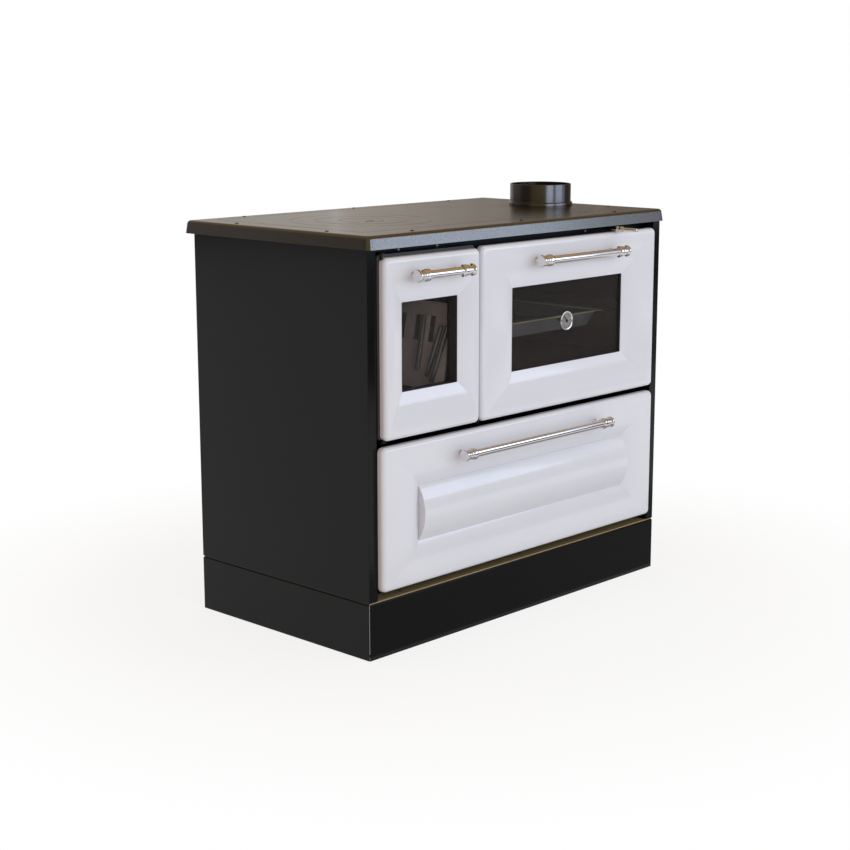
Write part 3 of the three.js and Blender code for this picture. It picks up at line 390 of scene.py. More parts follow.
# %% [markdown]
# ## Turning solids into finished pieces
# Folded sheets, rails and castings already have their true shape, but their edges are knife sharp.
# A real fold has a radius and a cast edge is broken with a file, and that small radius is what
# catches the light. Each piece is a copy of its solid with its loose triangles merged, flat faces
# joined and every corner bevelled by a fraction of a millimetre. Shading is then weighted by the
# size of the faces, so that a big flat face beside a small bevel still looks flat.

# %% Finishing a piece
broken_from = 35    # edges sharper than this, in degrees, are bevelled


def smooth_by_angle(mesh, degrees=broken_from):
    """Shade smoothly, but keep edges sharper than so many degrees."""
    mesh.shade_smooth()
    mesh.set_sharp_from_angle(angle=math.radians(degrees))


def finish_piece(obj, body, material, stands_for=(), soften=0.0, segments=2):
    """Link, paint and bevel a piece, let it ride on its body and hide the solid it stands for."""
    scene.collection.objects.link(obj)
    obj.data.materials.clear()
    obj.data.materials.append(material)
    if soften:
        edge = obj.modifiers.new("broken edges", "BEVEL")
        edge.width = soften / 1000
        edge.segments = segments
        edge.limit_method = "ANGLE"
        edge.angle_limit = math.radians(broken_from)
        edge.use_clamp_overlap = True
    level_faces = obj.modifiers.new("flat faces stay flat", "WEIGHTED_NORMAL")
    level_faces.keep_sharp = True
    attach(obj, body)
    if stands_for:
        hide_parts(*stands_for)
    return obj


def dressed(node, material, soften=0.5):
    """A softened copy of a CAD node that takes its place."""
    mesh = frame["nodes"][node].data.copy()
    mesh.name = node + "_dressed"
    shape = bmesh.new()
    shape.from_mesh(mesh)
    bmesh.ops.remove_doubles(shape, verts=shape.verts, dist=1e-5)
    bmesh.ops.dissolve_limit(
        shape, angle_limit=math.radians(0.5), verts=shape.verts, edges=shape.edges)
    shape.to_mesh(mesh)
    shape.free()
    smooth_by_angle(mesh)
    obj = bpy.data.objects.new(node + "_dressed", mesh)
    return finish_piece(obj, body_of_node[node], material, (node,), soften)


print("edges over", broken_from, "degrees are broken")


# %% [markdown]
# ## Sheets, rails and castings
# These pieces need no new shape, only their finish and broken edges. They could be listed one call
# at a time; a table from finish to solids shows at a glance what the stove is made of.

# %% Dress the sheets, rails and castings
plain_pieces = {
    black_coat: ["plinth_front", "plinth_back", "plinth_left", "plinth_right", "side_panel_left",
                 "side_panel_right", "back_panel"],
    frame_coat: ["front_rail_bottom", "front_rail_top", "front_stile_left", "front_stile_middle",
                 "front_stile_right"],
    door_frame_coat_lightened: ["fire_door_frame", "oven_door_frame"],
    inner_sheet: ["firebox_casing", "firebox_back_wall", "ash_pan", "drawer_tub",
                  "fire_door_glass_retainer", "oven_door_glass_retainer"],
    base_sheet_painted_reflection: ["base_plate"],
    grate_iron: ["fire_grate", "damper_plate"],
    lining_casting: ["lining_left", "lining_right", "lining_back"],
    oven_skin: ["oven_liner"],
    tray_skin: ["baking_tray"],
    bare_steel: ["oven_rail_left", "oven_rail_right", "drawer_runner_left", "drawer_runner_right",
                 "lining_rod_1", "lining_rod_2", "lining_rod_3"],
    screw_steel: ["fire_hinge_top", "fire_hinge_bottom", "oven_hinge_left", "oven_hinge_right"],
    seal_rope: ["fire_door_seal", "oven_door_seal"],
    door_glass: ["fire_door_glass", "oven_door_glass"],
}
for finish, nodes in plain_pieces.items():
    for node in nodes:
        dressed(node, finish, 0.35 if "glass" in node else 0.6)
print("dressed", sum(len(n) for n in plain_pieces.values()), "solids")


# %% [markdown]
# ## The pressed fronts
# A front is a steel pressing with a rolled outer edge, a flat face and a bevel that slopes back to
# the window. All of its sections are rounded rectangles that lie one inside the other, so it is
# made as a loft: each section is a ring of points, and rings are joined into one closed skin.
# The solids have the same sections with fewer points; here the rolled edge has twelve steps.

# %% A loft through rounded rectangles
smallest_radius = 0.2


def rounded(left, right, bottom, top, radius, steps=10):
    """Points of a rounded rectangle, anticlockwise."""
    radius = max(radius, smallest_radius)
    loop = []
    for u, v, start in ((right - radius, bottom + radius, -90), (right - radius, top - radius, 0),
                        (left + radius, top - radius, 90), (left + radius, bottom + radius, 180)):
        for i in range(steps + 1):
            angle = math.radians(start + 90 * i / steps)
            loop.append((u + radius * math.cos(angle), v + radius * math.sin(angle)))
    return loop


def grown(rectangle, by, radius=None):
    """A rectangle (left, right, bottom, top, radius) made larger on every side."""
    left, right, bottom, top, own = rectangle
    return (left - by, right + by, bottom - by, top + by,
            max(own + by, smallest_radius) if radius is None else radius)


def lofted(name, sections, flat=False):
    """One closed skin through (rectangle, level) sections, standing in XZ or lying in XY."""
    shape = bmesh.new()
    rings = []
    for rectangle, level in sections:
        rings.append([
            shape.verts.new(spot(u, v, level) if flat else spot(u, level, v))
            for u, v in rounded(*rectangle)
        ])
    for first, second in zip(rings, rings[1:] + rings[:1]):
        for i in range(len(first)):
            j = (i + 1) % len(first)
            shape.faces.new((first[i], first[j], second[j], second[i]))
    bmesh.ops.remove_doubles(shape, verts=shape.verts, dist=1e-6)
    bmesh.ops.recalc_face_normals(shape, faces=shape.faces)
    mesh = bpy.data.meshes.new(name)
    shape.to_mesh(mesh)
    shape.free()
    smooth_by_angle(mesh, 28)
    return bpy.data.objects.new(name, mesh)


print("a rounded rectangle has", len(rounded(0, 100, 0, 50, 5)), "points")


# %% Sections of a front
face_y = -17.5          # the fronts stand this far before the jambs
back_y = -0.3
sheet = 3.0             # how thick the pressing looks at its rim
corner_radius = 12.0
roll_radius, roll_steps = 10.0, 12
bevel_width, bevel_depth = 30.0, 13.0
rim_y = face_y + bevel_depth
sight_rim = 6.6         # the window's lip, from the opening to its return
return_width = 10.0     # and to the outside of that return


def pressed_front(name, outline, opening):
    """From the back edge over the inside, round the window, over the face and the rolled edge."""
    outer = outline + (corner_radius,)
    bevel = grown(opening, bevel_width, 3.0)
    lip, outside = grown(opening, sight_rim, 2.0), grown(opening, return_width, 2.0)
    sections = [
        (grown(outer, -sheet), back_y),
        (grown(outer, -sheet), face_y + roll_radius),
        (grown(outer, -roll_radius), face_y + sheet),
        (grown(bevel, sheet - 1, 3.0), face_y + sheet),
        (outside, rim_y - 0.5), (outside, back_y), (lip, back_y), (lip, rim_y + 1),
        (opening, rim_y + 1), (opening, rim_y), (bevel, face_y),
    ]
    for i in range(roll_steps + 1):
        a = math.radians(90 * i / roll_steps)
        inwards = roll_radius * (1 - math.sin(a))
        sections.append((grown(outer, -inwards), face_y + roll_radius * (1 - math.cos(a))))
    sections.append((outer, back_y))
    return lofted(name, sections)


print("fronts stand", -face_y, "mm out, windows lie", bevel_depth, "mm deeper")


# %% [markdown]
# The fronts differ only in their outline and opening, which were measured on the photograph through
# the fitted camera. The drawer has a recess where the doors have a window.

# %% The three fronts
fire_window = (90.0, 250.5, 537.0, 715.0, 2.0)
oven_window = (420.0, 793.5, 536.5, 714.0, 2.0)
drawer_recess = (135.0, 805.0, 225.0, 341.0, 0.2)
for name, body, outline, opening in (
    ("fire_door_front", "fire_door", (32.0, 308.0, 446.0, 806.0), fire_window),
    ("oven_door_front", "oven_door", (312.0, 904.0, 446.0, 809.5), oven_window),
    ("drawer_front", "fuel_drawer", (24.0, 906.0, 139.0, 434.0), drawer_recess),
):
    front = pressed_front(name + "_enamelled", outline, opening)
    finish_piece(front, body, enamel, (name,), soften=0.9, segments=3)
print("three enamelled fronts")


# %% [markdown]
# ## The drawer's convex panel
# The panel in the drawer's recess swells outwards like a barrel laid on its side, 20.5 mm at the
# crest, and is cut square at both ends. Its section is an arc through both edges, so the radius
# follows from the half height and the rise; it is pushed along X and closed at the ends.

# %% Convex panel
def swelling(half, rise, steps=40):
    """(outward, up) points of an arc that rises `rise` over a chord of 2 * half."""
    radius = (half * half + rise * rise) / (2 * rise)
    sweep = math.asin(half / radius)
    return [
        (rise - radius * (1 - math.cos(a)), radius * math.sin(a))
        for a in (-sweep + 2 * sweep * i / steps for i in range(steps + 1))
    ]


def from_shape(name, shape, degrees=32):
    """A finished mesh object from an open bmesh, its faces turned outwards."""
    bmesh.ops.recalc_face_normals(shape, faces=shape.faces)
    mesh = bpy.data.meshes.new(name)
    shape.to_mesh(mesh)
    shape.free()
    smooth_by_angle(mesh, degrees)
    return bpy.data.objects.new(name, mesh)


panel_rise = 20.5
left, right, bottom, top, _ = grown(drawer_recess, -0.05)    # so that it clears the recess
middle, half = (bottom + top) / 2, (top - bottom) / 2
arc = [(rim_y - out, middle + up) for out, up in swelling(half, panel_rise)]
profile = [(back_y, bottom)] + arc + [(back_y, top)]
shape = bmesh.new()
ends = [[shape.verts.new(spot(x, y, z)) for y, z in profile] for x in (left, right)]
for i in range(len(profile)):
    j = (i + 1) % len(profile)
    shape.faces.new((ends[0][i], ends[0][j], ends[1][j], ends[1][i]))
shape.faces.new(ends[0])
shape.faces.new(ends[1])
panel = from_shape("drawer_panel_enamelled", shape, 30)
finish_piece(panel, "fuel_drawer", enamel, ("drawer_panel",), soften=0.4)
print("convex panel", round(right - left), "x", round(top - bottom), "mm")


# %% [markdown]
# ## Turned work
# Handles, damper rod and thermometer come off a lathe, so they are drawn the way a turner sees
# them: radii along an axis. Beads are curves between a few measured radii, so a smooth cubic
# curve runs through them, and a corner is made by giving a point twice.

# %% Lathe helpers
def through(points, per_span=5):
    """A smooth outline through (radius, distance) points; a doubled point stays a corner."""
    runs, run = [], [points[0]]
    for previous, point in zip(points, points[1:]):
        if point == previous:
            runs.append(run)
            run = [point]
        else:
            run.append(point)
    runs.append(run)
    outline = []
    for run in runs:
        if len(run) == 2:
            outline += run
            continue
        padded = [run[0]] + run + [run[-1]]
        for p0, p1, p2, p3 in zip(padded, padded[1:], padded[2:], padded[3:]):
            for i in range(per_span):
                t = i / per_span
                outline.append(tuple(
                    0.5 * (2 * b + (c - a) * t + (2 * a - 5 * b + 4 * c - d) * t * t
                           + (3 * b - a - 3 * c + d) * t ** 3)
                    for a, b, c, d in zip(p0, p1, p2, p3)
                ))
        outline.append(run[-1])
    return [p for i, p in enumerate(outline) if i == 0 or p != outline[i - 1]]


def turned(shape, outline, start, axis, sides=48):
    """Spin (radius, distance) points about an axis from `start`, into an open bmesh."""
    axis = Vector(axis).normalized()
    across = axis.orthogonal().normalized()
    other = axis.cross(across)
    rows = []
    for radius, along in outline:
        middle = start + axis * (along / 1000)
        if radius < 1e-6:
            rows.append([shape.verts.new(middle)])
            continue
        rows.append([
            shape.verts.new(middle + (across * math.cos(a) + other * math.sin(a)) * (radius / 1000))
            for a in (2 * math.pi * i / sides for i in range(sides))
        ])
    for first, second in zip(rows, rows[1:]):
        for i in range(sides):
            j = (i + 1) % sides
            if len(first) == 1 and len(second) == 1:
                continue
            if len(first) == 1:
                shape.faces.new((first[0], second[j], second[i]))
            elif len(second) == 1:
                shape.faces.new((first[i], first[j], second[0]))
            else:
                shape.faces.new((first[i], first[j], second[j], second[i]))


print("a doubled point keeps its corner:", len(through([(1, 0), (1, 0), (2, 1), (2, 2)])), "points")


# %% [markdown]
# Each handle's bar ends in a flat bead, a neck, a narrow ring and a barrel, and is 17.5 mm thick
# between them. Two short posts, hidden behind the necks, carry it. Bar and posts are separate
# closed skins in one mesh, as the posts are screwed into the bar.

# %% Handles
bar_y = -48.0
post_inset, post_start = 21, -17.8
end_of_bar = [
    (0, 0), (0, 0), (10.6, 0), (10.6, 0),                                     # flat end
    (11.9, 0.5), (12.5, 1.8), (12.5, 3.6), (11.6, 5.2), (8.8, 6.8),           # bead
    (8.2, 8.6), (8.4, 10.6), (8.4, 10.6),                                     # neck
    (9.8, 11.2), (10.1, 12.4), (9.8, 13.6), (9.0, 14.4), (9.0, 14.4),         # narrow ring
    (11.0, 15.6), (11.4, 18), (11.2, 20.2), (10.8, 21.2), (10.8, 21.2),       # barrel
    (11.9, 22.8), (12.5, 25), (12.5, 30), (11.7, 32.4), (8.75, 34), (8.75, 34),
]
post = [
    (0, 0), (0, 0), (5.5, 0), (5.5, 0), (5.5, 1.6), (4.4, 2.6), (3.2, 4), (3, 8), (3, 20), (3, 28),
    (0, 28),
]


def handle(name, body, length, x, z):
    """A bar with mirrored ends about x, at height z, on two posts."""
    outline = through(end_of_bar)
    outline = outline + [(r, length - d) for r, d in reversed(outline)]
    start = x - length / 2
    shape = bmesh.new()
    turned(shape, outline, spot(start, bar_y, z), (1, 0, 0))
    for at in (post_inset, length - post_inset):
        turned(shape, through(post, 3), spot(start + at, post_start, z), (0, -1, 0), sides=32)
    finish_piece(from_shape(name + "_polished", shape), body, nickel, (name,))


handle("fire_door_handle", "fire_door", 161, 168.8, 770)
handle("oven_door_handle", "oven_door", 295, 608, 770)
handle("drawer_handle", "fuel_drawer", 484, 466.7, 392.5)
print("three turned handles")


# %% [markdown]
# The damper's rod ends in two beads with a waist between, where two fingers hold it. It is one
# closed skin from its tip to the plate that it moves under the flue.

# %% Damper rod
shape = bmesh.new()
b = 48.0          # from the rod's front end to the waist between its two beads
rod_length = 275
rod = [
    (0, 0), (0, 0), (3, 0), (4, 1), (4, 1), (4, b - 12), (4, b - 12),
    (5.4, b - 9.5), (6.3, b - 5.5), (5.6, b - 2), (4.5, b), (5.6, b + 2.4), (6.4, b + 6),
    (5.6, b + 9.6), (3.7, b + 12), (3.7, b + 12), (3.7, rod_length), (3.7, rod_length),
    (0, rod_length),
]
turned(shape, through(rod), spot(757, -73, 816.25), (0, 1, 0), sides=40)
finish_piece(from_shape("damper_rod_polished", shape), "damper", nickel, ("damper_rod",))
print("damper rod", rod_length, "mm")


# %% [markdown]
# The thermometer is a shallow cup on a stem through the glass. The needle turns on a body of its
# own, so it is a separate piece and only dressed.

# %% Thermometer
glass_y = 1.5
shape = bmesh.new()
bezel = [
    (0, -22), (0, -22), (3, -22), (4, -21), (4, 0), (4, 0),                     # stem
    (19.2, 0), (19.2, 0), (20.8, 0.6), (21.2, 1.5), (21.2, 2.4), (20.4, 3.3),   # rim
    (19.4, 3.5), (18.4, 3.2), (17.4, 2.7), (16.2, 1.4), (16.2, 1.4), (0, 1.4),  # down to the dial
]
turned(shape, through(bezel), spot(dial_centre[0], glass_y, dial_centre[1]), (0, -1, 0), sides=64)
finish_piece(from_shape("thermometer_bezel_polished", shape), "oven_door", dial_nickel,
             ("thermometer_bezel",))
dressed("thermometer_needle", screw_steel, 0.15)
print("thermometer", 2 * max(r for r, _ in bezel), "mm across")


# %% [markdown]
# ## The cooktop's frame
# The frame of the cooktop is a casting with a drafted skirt and a rounded upper edge; the plate
# and its rings lie flush in it. It could be a box with bevels, but the skirt's draft and the ledge
# for the plate come for nothing when it is lofted through lying sections. The hole under the flue
# collar is bored with a Boolean, whose result is kept as plain mesh.

# %% Cooktop frame
seam_edge, seam_drop = 1.5, 0.7    # worn bevel along each seam, and how deep it goes
flue_centre, flue_bore = (848, 280), 68.5
plate_opening = (50.0, 756.0, 60.0, 504.0, 3.0)
outline = (-6.0, 946.0, -10.5, 549.0, 14.0)
top_z, ledge_z, web_z, skirt_z = 850.0, 842.0, 836.0, 823.0
draft, edge_radius, edge_steps = 3.0, 8.5, 10
inside = grown(outline, -14, 3.0)
ledge = grown(plate_opening, -10)
skirt_top = top_z - edge_radius
sections = [(outline, skirt_z), (grown(outline, -draft), skirt_top)]
for i in range(1, edge_steps + 1):
    a = math.radians(90 * i / edge_steps)
    inwards = draft + edge_radius * (1 - math.cos(a))
    sections.append((grown(outline, -inwards), skirt_top + edge_radius * math.sin(a)))
sections += [
    (grown(plate_opening, seam_edge), top_z), (plate_opening, top_z - seam_drop),
    (plate_opening, ledge_z), (ledge, ledge_z), (ledge, web_z), (inside, web_z), (inside, skirt_z),
]


def keep_result(obj):
    """Turn what an object's modifiers make into its own mesh, and drop them."""
    seen = obj.evaluated_get(bpy.context.evaluated_depsgraph_get())
    result = bpy.data.meshes.new_from_object(seen)
    result.validate()    # a Boolean can leave an edge twice
    obj.modifiers.clear()
    obj.data = result


cooktop = lofted("cooktop_frame_cast", sections, flat=True)
shape = bmesh.new()
turned(shape, [(0, -40), (flue_bore, -40), (flue_bore, 40), (0, 40)],
       spot(*flue_centre, top_z), (0, 0, 1), sides=96)
flue_hole = from_shape("flue_hole", shape)
scene.collection.objects.link(cooktop)
scene.collection.objects.link(flue_hole)
boring = cooktop.modifiers.new("flue hole", "BOOLEAN")
boring.object = flue_hole
boring.operation = "DIFFERENCE"
boring.solver = "EXACT"
keep_result(cooktop)
smooth_by_angle(cooktop.data, 28)
bpy.data.objects.remove(flue_hole)
scene.collection.objects.unlink(cooktop)
finish_piece(cooktop, "stove", hob_iron, ("cooktop_frame",))
dressed("hob_plate", hob_iron, 1.1)
print("cooktop frame", len(cooktop.data.polygons), "faces")


# %% [markdown]
# ## Hob rings and flue collar from Geometry Nodes
# Every ring follows one rule: a small rebated section swept round a circle. So the ring is a node
# tree. Its input mesh is the section, drawn flat with its distances from the circle, and its
# named inputs are the circle's radius, the number of sides, the centre and the finish. The tree
# ends in Realize Instances and Set Material, and its result is turned into plain mesh.

# %% Ring tree
def open_group(name, inputs):
    """A Geometry Nodes group with named inputs; the last one is always its finish."""
    tree = bpy.data.node_groups.new(name, "GeometryNodeTree")
    for label, kind in inputs + [("Finish", "Material")]:
        tree.interface.new_socket(label, in_out="INPUT", socket_type="NodeSocket" + kind)
    tree.interface.new_socket("Result", in_out="OUTPUT", socket_type="NodeSocketGeometry")
    return tree, put(tree, "NodeGroupInput")


def close_group(tree, given, geometry):
    """Realize the instances, set the finish and send them out."""
    real = put(tree, "GeometryNodeRealizeInstances", {"Geometry": geometry})
    painted = put(tree, "GeometryNodeSetMaterial", {
        "Geometry": (real, "Geometry"), "Material": (given, "Finish"),
    })
    put(tree, "NodeGroupOutput", {"Result": (painted, "Geometry")})


def ring_tree():
    tree, given = open_group("swept ring", [
        ("Section", "Geometry"), ("Circle Radius", "Float"), ("Sides", "Int"), ("Centre", "Vector"),
    ])
    circle = put(tree, "GeometryNodeCurvePrimitiveCircle", {
        "Resolution": (given, "Sides"), "Radius": (given, "Circle Radius"),
    }, mode="RADIUS")
    section = put(tree, "GeometryNodeMeshToCurve", {"Mesh": (given, "Section")})
    swept = put(tree, "GeometryNodeCurveToMesh", {
        "Curve": (circle, "Curve"), "Profile Curve": (section, "Curve"),
    })
    moved = put(tree, "GeometryNodeTransform", {
        "Geometry": (swept, "Mesh"), "Translation": (given, "Centre"),
    })
    close_group(tree, given, (moved, "Geometry"))
    return tree


rings = ring_tree()
print("ring tree:", len(rings.nodes), "nodes")


def grow(name, tree, points, edges, **inputs):
    """Run a node tree on a small mesh and return an object that holds its result as mesh."""
    mesh = bpy.data.meshes.new(name)
    mesh.from_pydata(points, edges, [])
    obj = bpy.data.objects.new(name, mesh)
    scene.collection.objects.link(obj)
    modifier = obj.modifiers.new(tree.name, "NODES")
    modifier.node_group = tree
    for item in tree.interface.items_tree:
        label = item.name.replace(" ", "_").lower()
        if item.in_out == "INPUT" and label in inputs:
            modifier[item.identifier] = inputs[label]
    keep_result(obj)
    scene.collection.objects.unlink(obj)
    return obj


# %% [markdown]
# Seen from the side, each ring hangs by a foot in the piece outside it and carries the next one on
# a lip. The collar has a foot bead, a straight wall and a rolled rim. All are sections in
# millimetres from the axis, like a foundry drawing.

# %% Rings and collar
def ring(node, section, x, y, finish):
    """Sweep a closed section of (radius, height) points in millimetres."""
    middle = sum(r for r, _ in section) / len(section)
    points = [((r - middle) / 1000, -z / 1000, 0) for r, z in section]
    loop = [(i, (i + 1) % len(points)) for i in range(len(points))]
    obj = grow(node + "_cast", rings, points, loop, circle_radius=middle / 1000, sides=128,
               centre=spot(x, y, 0), finish=finish)
    shape = bmesh.new()
    shape.from_mesh(obj.data)
    bmesh.ops.recalc_face_normals(shape, faces=shape.faces)
    shape.to_mesh(obj.data)
    shape.free()
    smooth_by_angle(obj.data, 30)
    finish_piece(obj, body_of_node[node], finish, (node,))
    print(node, len(obj.data.polygons), "faces")


def rebated(radius, bore):
    """A ring's section: its foot hangs in the piece outside it, its lip carries the one inside."""
    seat = 6.0
    r, foot, chamfer = radius - 0.3, radius - 6.3, top_z - seam_drop
    return [
        (r, 846.3), (r, chamfer), (r - seam_edge, top_z), (bore + seam_edge, top_z),
        (bore, chamfer), (bore, 846), (bore - seat, 846), (bore - seat, 842.3), (foot, 842.3),
        (foot, 846.3),
    ]


hob_centre = (249, 271)
ring("hob_ring_outer", rebated(150, 97.5), *hob_centre, hob_iron)
ring("hob_ring_middle", rebated(97.5, 47.5), *hob_centre, hob_iron)
dressed("hob_lid", hob_iron, 1.1)
ring("flue_collar", [
    (flue_bore, 850.3), (75, 850.3), (75, 856.2), (74.4, 857.6), (73, 858.3), (72.2, 858.5),
    (71.5, 860), (71.5, 898.8), (71.0, 899.7), (70.4, 900), (69.4, 900), (flue_bore, 899.2),
], *flue_centre, collar_iron)


# %% [markdown]
# ## Screws
# Small countersunk screws hold the cooktop, the front frame, the base plate and the back. They
# repeat, so Geometry Nodes put one head, a low dome with a cross slot, on every point of a small
# mesh whose vertices are the screw places. The tree has named inputs for the head and the slot,
# and a fixed seed turns each head a little, as a screwdriver leaves them.

# %% Screw tree
def screw_tree():
    crown_share, slot_share = 0.78, 1.1
    tree, given = open_group("screw heads", [
        ("Places", "Geometry"), ("Head Radius", "Float"), ("Head Height", "Float"),
        ("Slot Width", "Float"), ("Tilt", "Vector"),
    ])
    crown = calc(tree, "MULTIPLY", (given, "Head Radius"), crown_share)
    head = put(tree, "GeometryNodeMeshCone", {
        "Vertices": 24, "Side Segments": 2, "Radius Top": (crown, 0),
        "Radius Bottom": (given, "Head Radius"), "Depth": (given, "Head Height"),
    })
    length = calc(tree, "MULTIPLY", (given, "Head Radius"), slot_share)
    size = put(tree, "ShaderNodeCombineXYZ", {
        "X": (length, 0), "Y": (given, "Slot Width"), "Z": (given, "Head Height"),
    })
    slot = put(tree, "GeometryNodeMeshCube", {"Size": (size, "Vector")})
    lift = put(tree, "ShaderNodeCombineXYZ", {"Z": (given, "Head Height")})
    raised = put(tree, "GeometryNodeTransform", {
        "Geometry": (slot, "Mesh"), "Translation": (lift, "Vector"),
    })
    turned_slot = put(tree, "GeometryNodeTransform", {
        "Geometry": (raised, "Geometry"), "Rotation": (0, 0, math.pi / 2),
    })
    crossed = put(tree, "GeometryNodeMeshBoolean", {0: (head, "Mesh")}, operation="DIFFERENCE")
    for cut in (raised, turned_slot):
        tree.links.new(cut.outputs["Geometry"], crossed.inputs[1])
    placed = put(tree, "GeometryNodeInstanceOnPoints", {
        "Points": (given, "Places"), "Instance": (crossed, "Mesh"), "Rotation": (given, "Tilt"),
    })
    spun = put(tree, "FunctionNodeRandomValue", {2: 0.0, 3: 3.1, "Seed": 4}, data_type="FLOAT")
    spin = put(tree, "ShaderNodeCombineXYZ", {"Z": (spun, 1)})
    loose = put(tree, "GeometryNodeRotateInstances", {
        "Instances": (placed, "Instances"), "Rotation": (spin, "Vector"), "Local Space": True,
    })
    close_group(tree, given, (loose, "Instances"))
    return tree


screws = screw_tree()
print("screw tree:", len(screws.nodes), "nodes")


# %% [markdown]
# Places were read on the photograph where screws show; the back's follow the panel's edges.

# %% Screw rows
def screw_row(name, places, tilt=(0, 0, 0), radius=0.0042, finish=screw_steel):
    """Screw heads at places, their axes turned by tilt (radians about X, Y, Z)."""
    slot_to_head = 0.24
    obj = grow(name, screws, [spot(*p) for p in places], [], head_radius=radius,
               head_height=0.0009, slot_width=radius * slot_to_head, tilt=tilt, finish=finish)
    finish_piece(obj, "stove", finish)
    print(name, len(places), "screws,", len(obj.data.polygons), "faces")


screw_row("cooktop_screws", [
    (x, y, top_z + 0.2) for x, y in (
        (145, 20), (475, 20), (795, 20), (145, 527), (475, 527), (795, 527),
        (21, 133), (21, 405), (919, 133), (919, 405),
    )
])
screw_row("front_frame_screws", [
    (119, 32.6, 814), (230, 32.6, 814), (708, 32.6, 812), (820, 32.6, 812),
], (math.pi / 2, 0, 0), radius=0.0034, finish=bare_steel)
screw_row("base_plate_screws", [
    (108, 21, 120.1), (483, 22, 120.1), (905, 23, 120.1),
], radius=0.0034, finish=bare_steel)
screw_row("back_screws", [
    (x, 520.3, z) for x in (11, 929) for z in (170, 390, 610, 790)
], (-math.pi / 2, 0, 0), radius=0.0038)


# %% [markdown]
# ## Floor and white surroundings
# The stove stands on a plain pale floor. The camera, mirrors and glass are shown a white floor and
# a white room through the light path, so the background costs no extra light on the object. Near
# the stove part of the floor's own lit colour stays in, which keeps the soft shadow, and it fades
# to plain white 1.4 m out, measured in the floor's own coordinates.

# %% Floor
def stage_plane(name, half_width, half_depth, centre, normal=(0, 0, 1)):
    """A rectangle about a centre; half_depth runs upwards on an upright one."""
    normal = Vector(normal).normalized()
    up = Vector((0, 1, 0)) if abs(normal.z) > 0.9 else Vector((0, 0, 1))
    across = up.cross(normal).normalized()
    mesh = bpy.data.meshes.new(name)
    mesh.from_pydata([
        centre + across * (a * half_width) + up * (b * half_depth)
        for a, b in ((-1, -1), (1, -1), (1, 1), (-1, 1))
    ], [], [(0, 1, 2, 3)])
    obj = bpy.data.objects.new(name, mesh)
    scene.collection.objects.link(obj)
    return obj


def seen_directly(tree):
    """1 for camera, mirror and glass rays, 0 for diffuse light."""
    path = put(tree, "ShaderNodeLightPath")
    either = calc(tree, "MAXIMUM", (path, "Is Camera Ray"), (path, "Is Glossy Ray"))
    return calc(tree, "MAXIMUM", (either, 0), (path, "Is Transmission Ray"))


near_stove, far_out, plain_near = 0.55, 1.4, 0.82
in_mirrors = 0.78       # the floor's level in mirrors and glass; the camera sees it at 1
floor = stage_plane("floor", 9, 9, Vector((0, 0, -0.0005)))
paint, tree, coords, output = new_finish("pale floor")
distance = vec(tree, "LENGTH", coords)
fade = put(tree, "ShaderNodeMapRange", {
    "Value": (distance, "Value"), "From Min": near_stove, "From Max": far_out,
    "To Min": plain_near, "To Max": 1.0,
}, interpolation_type="SMOOTHSTEP")
shown = calc(tree, "MULTIPLY", (fade, "Result"), (seen_directly(tree), 0))
path = put(tree, "ShaderNodeLightPath")
level = calc(tree, "MULTIPLY_ADD", (path, "Is Camera Ray"), 1 - in_mirrors, in_mirrors)
lit = put(tree, "ShaderNodeBsdfDiffuse", {"Color": (0.92, 0.92, 0.92, 1)})
white = put(tree, "ShaderNodeEmission", {"Color": (1, 1, 1, 1), "Strength": (level, 0)})
mixed = put(tree, "ShaderNodeMixShader", {0: (shown, 0), 1: (lit, 0), 2: (white, 0)})
tree.links.new(mixed.outputs[0], output.inputs["Surface"])
floor.data.materials.append(paint)
print("floor fades to white between", near_stove, "and", far_out, "m")


# %% [markdown]
# The world has two skies: a warm one, which lights the stove, and the white one that is seen.

# %% World
world = bpy.data.worlds.new("studio")
scene.world = world
world.use_nodes = True
tree = world.node_tree
tree.nodes.clear()
sky = put(tree, "ShaderNodeBackground", {"Color": (1.0, 0.84, 0.71, 1), "Strength": 0.68})
white = put(tree, "ShaderNodeBackground", {"Color": (1, 1, 1, 1), "Strength": 1.0})
mixed = put(tree, "ShaderNodeMixShader", {0: (seen_directly(tree), 0), 1: (sky, 0), 2: (white, 0)})
put(tree, "ShaderNodeOutputWorld", {"Surface": (mixed, 0)})
print("world strength", sky.inputs["Strength"].default_value)


# %% [markdown]
# ## Light, and what the metal sees
# A soft box in front gives the fronts their level, and the world fills the rest with a warmer,
# weaker light. Polished metal shows its surroundings more than itself, so the room matters. Only
# shiny pieces see these cards: a tan ceiling, which the upper halves of the handles show, tan and
# dark walls in front, grey walls behind, which the hob mirrors, and cool windows close to the
# stove, which put a thin white line on every bar and brighten the cooktop's skirt.

# %% Lamps
def soft_box(name, place, target, size, power, colour):
    """A rectangular lamp, kept out of reflections."""
    light = bpy.data.lights.new(name, "AREA")
    light.shape = "RECTANGLE"
    light.size, light.size_y = size
    light.energy = power
    light.color = colour
    obj = bpy.data.objects.new(name, light)
    obj.location = Vector(place)
    obj.rotation_euler = (Vector(target) - obj.location).to_track_quat("-Z", "Y").to_euler()
    obj.visible_glossy = False
    scene.collection.objects.link(obj)


soft_box("front_box", (0.6, -4.6, 1.7), (0, 0, 0.5), (7.0, 3.2), 128, (0.57, 0.83, 1.0))
print("one lamp")


# %% [markdown]
# The cards stand round the stove like a room's walls, each between two bearings. Their places
# follow from the stripes that the polished bars and the hob show.

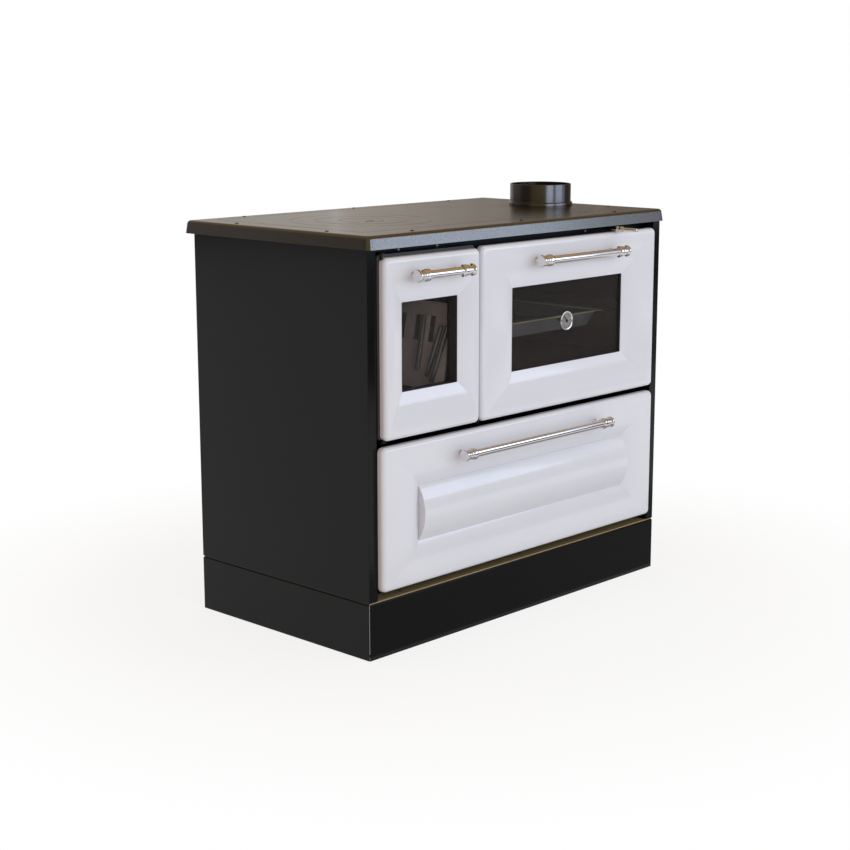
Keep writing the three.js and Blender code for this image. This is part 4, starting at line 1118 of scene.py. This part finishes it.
# %% Cards
def card(name, centre, half_width, half_depth, normal, colour, strength=1.0):
    """A glowing card that only shiny pieces see."""
    obj = stage_plane(name, half_width, half_depth, Vector(centre), normal)
    material, tree, _, output = new_finish(name)
    glow = put(tree, "ShaderNodeEmission", {"Color": linear(colour), "Strength": strength})
    tree.links.new(glow.outputs[0], output.inputs["Surface"])
    obj.data.materials.append(material)
    obj.visible_camera = False
    obj.visible_diffuse = False
    obj.visible_shadow = False
    obj.visible_transmission = False


def wall(name, start, end, low, high, colour, strength=1.0, away=4.2):
    """A card between two bearings, in degrees from straight before the fronts towards the right."""
    bearing = math.radians((start + end) / 2)
    outwards = Vector((math.sin(bearing), -math.cos(bearing), 0))
    centre = outwards * away + Vector((0, -0.25, (low + high) / 2))
    half_width = away * math.tan(math.radians((end - start) / 2))
    card(name, centre, half_width, (high - low) / 2, -outwards, colour, strength)


room_height = 3.3
wall("window_left", -20, 12, 0.62, 1.47, "#c8d6ee", 4.0, away=1.6)
wall("window_right", 21, 54, 0.68, 1.47, "#c3d3f0", 3.8, away=1.6)
wall("window_edge", 54, 68, 0.7, 1.47, "#c0cbe0", 1.5, away=1.7)
wall("dark_low_wall", -27, 58, 0.0, 0.9, "#2e2924")
wall("tan_front_wall", -27, 58, 0.9, room_height, "#a38962")
wall("right_wall", 58, 100, 0.0, room_height, "#695f56")
wall("right_back_wall", 100, 126, 0.0, room_height, "#8a7f72")
wall("back_wall", 142, 180, 0.0, room_height, "#cfcac2")
strips, first_bearing, strip_width = 8, 126, 2
for step in range(strips):   # the back wall grows lighter towards the left
    level = 135 + 8.6 * step
    shade = "#%02x%02x%02x" % (round(level + 8), round(level), round(level - 8))
    start = first_bearing + strip_width * step
    wall(f"back_wall_{step}", start, start + strip_width, 0.0, room_height, shade)
wall("left_back_wall", 180, 225, 0.45, room_height, "#908989")
wall("left_wall", -135, -88, 0.45, room_height, "#6c655a")
wall("left_front_wall", -88, -27, 0.0, room_height, "#a69a78")
card("tan_ceiling", (0, -0.25, room_height), 4.6, 4.6, (0, 0, -1), "#b3966b")
card("shaded_floor", (0.2, -0.47, 0.002), 1.0, 0.22, (0, 0, 1), "#8f8d8c")
card("dark_rug", (2.6, -2.95, 0.002), 1.0, 0.95, (0, 0, 1), "#2e2924")
print("the room is", room_height, "m high")


# %% [markdown]
# ## Finish
# The colours are judged as written, so the view transform is Standard.

# %% Set the view transform
scene.view_settings.view_transform = "Standard"
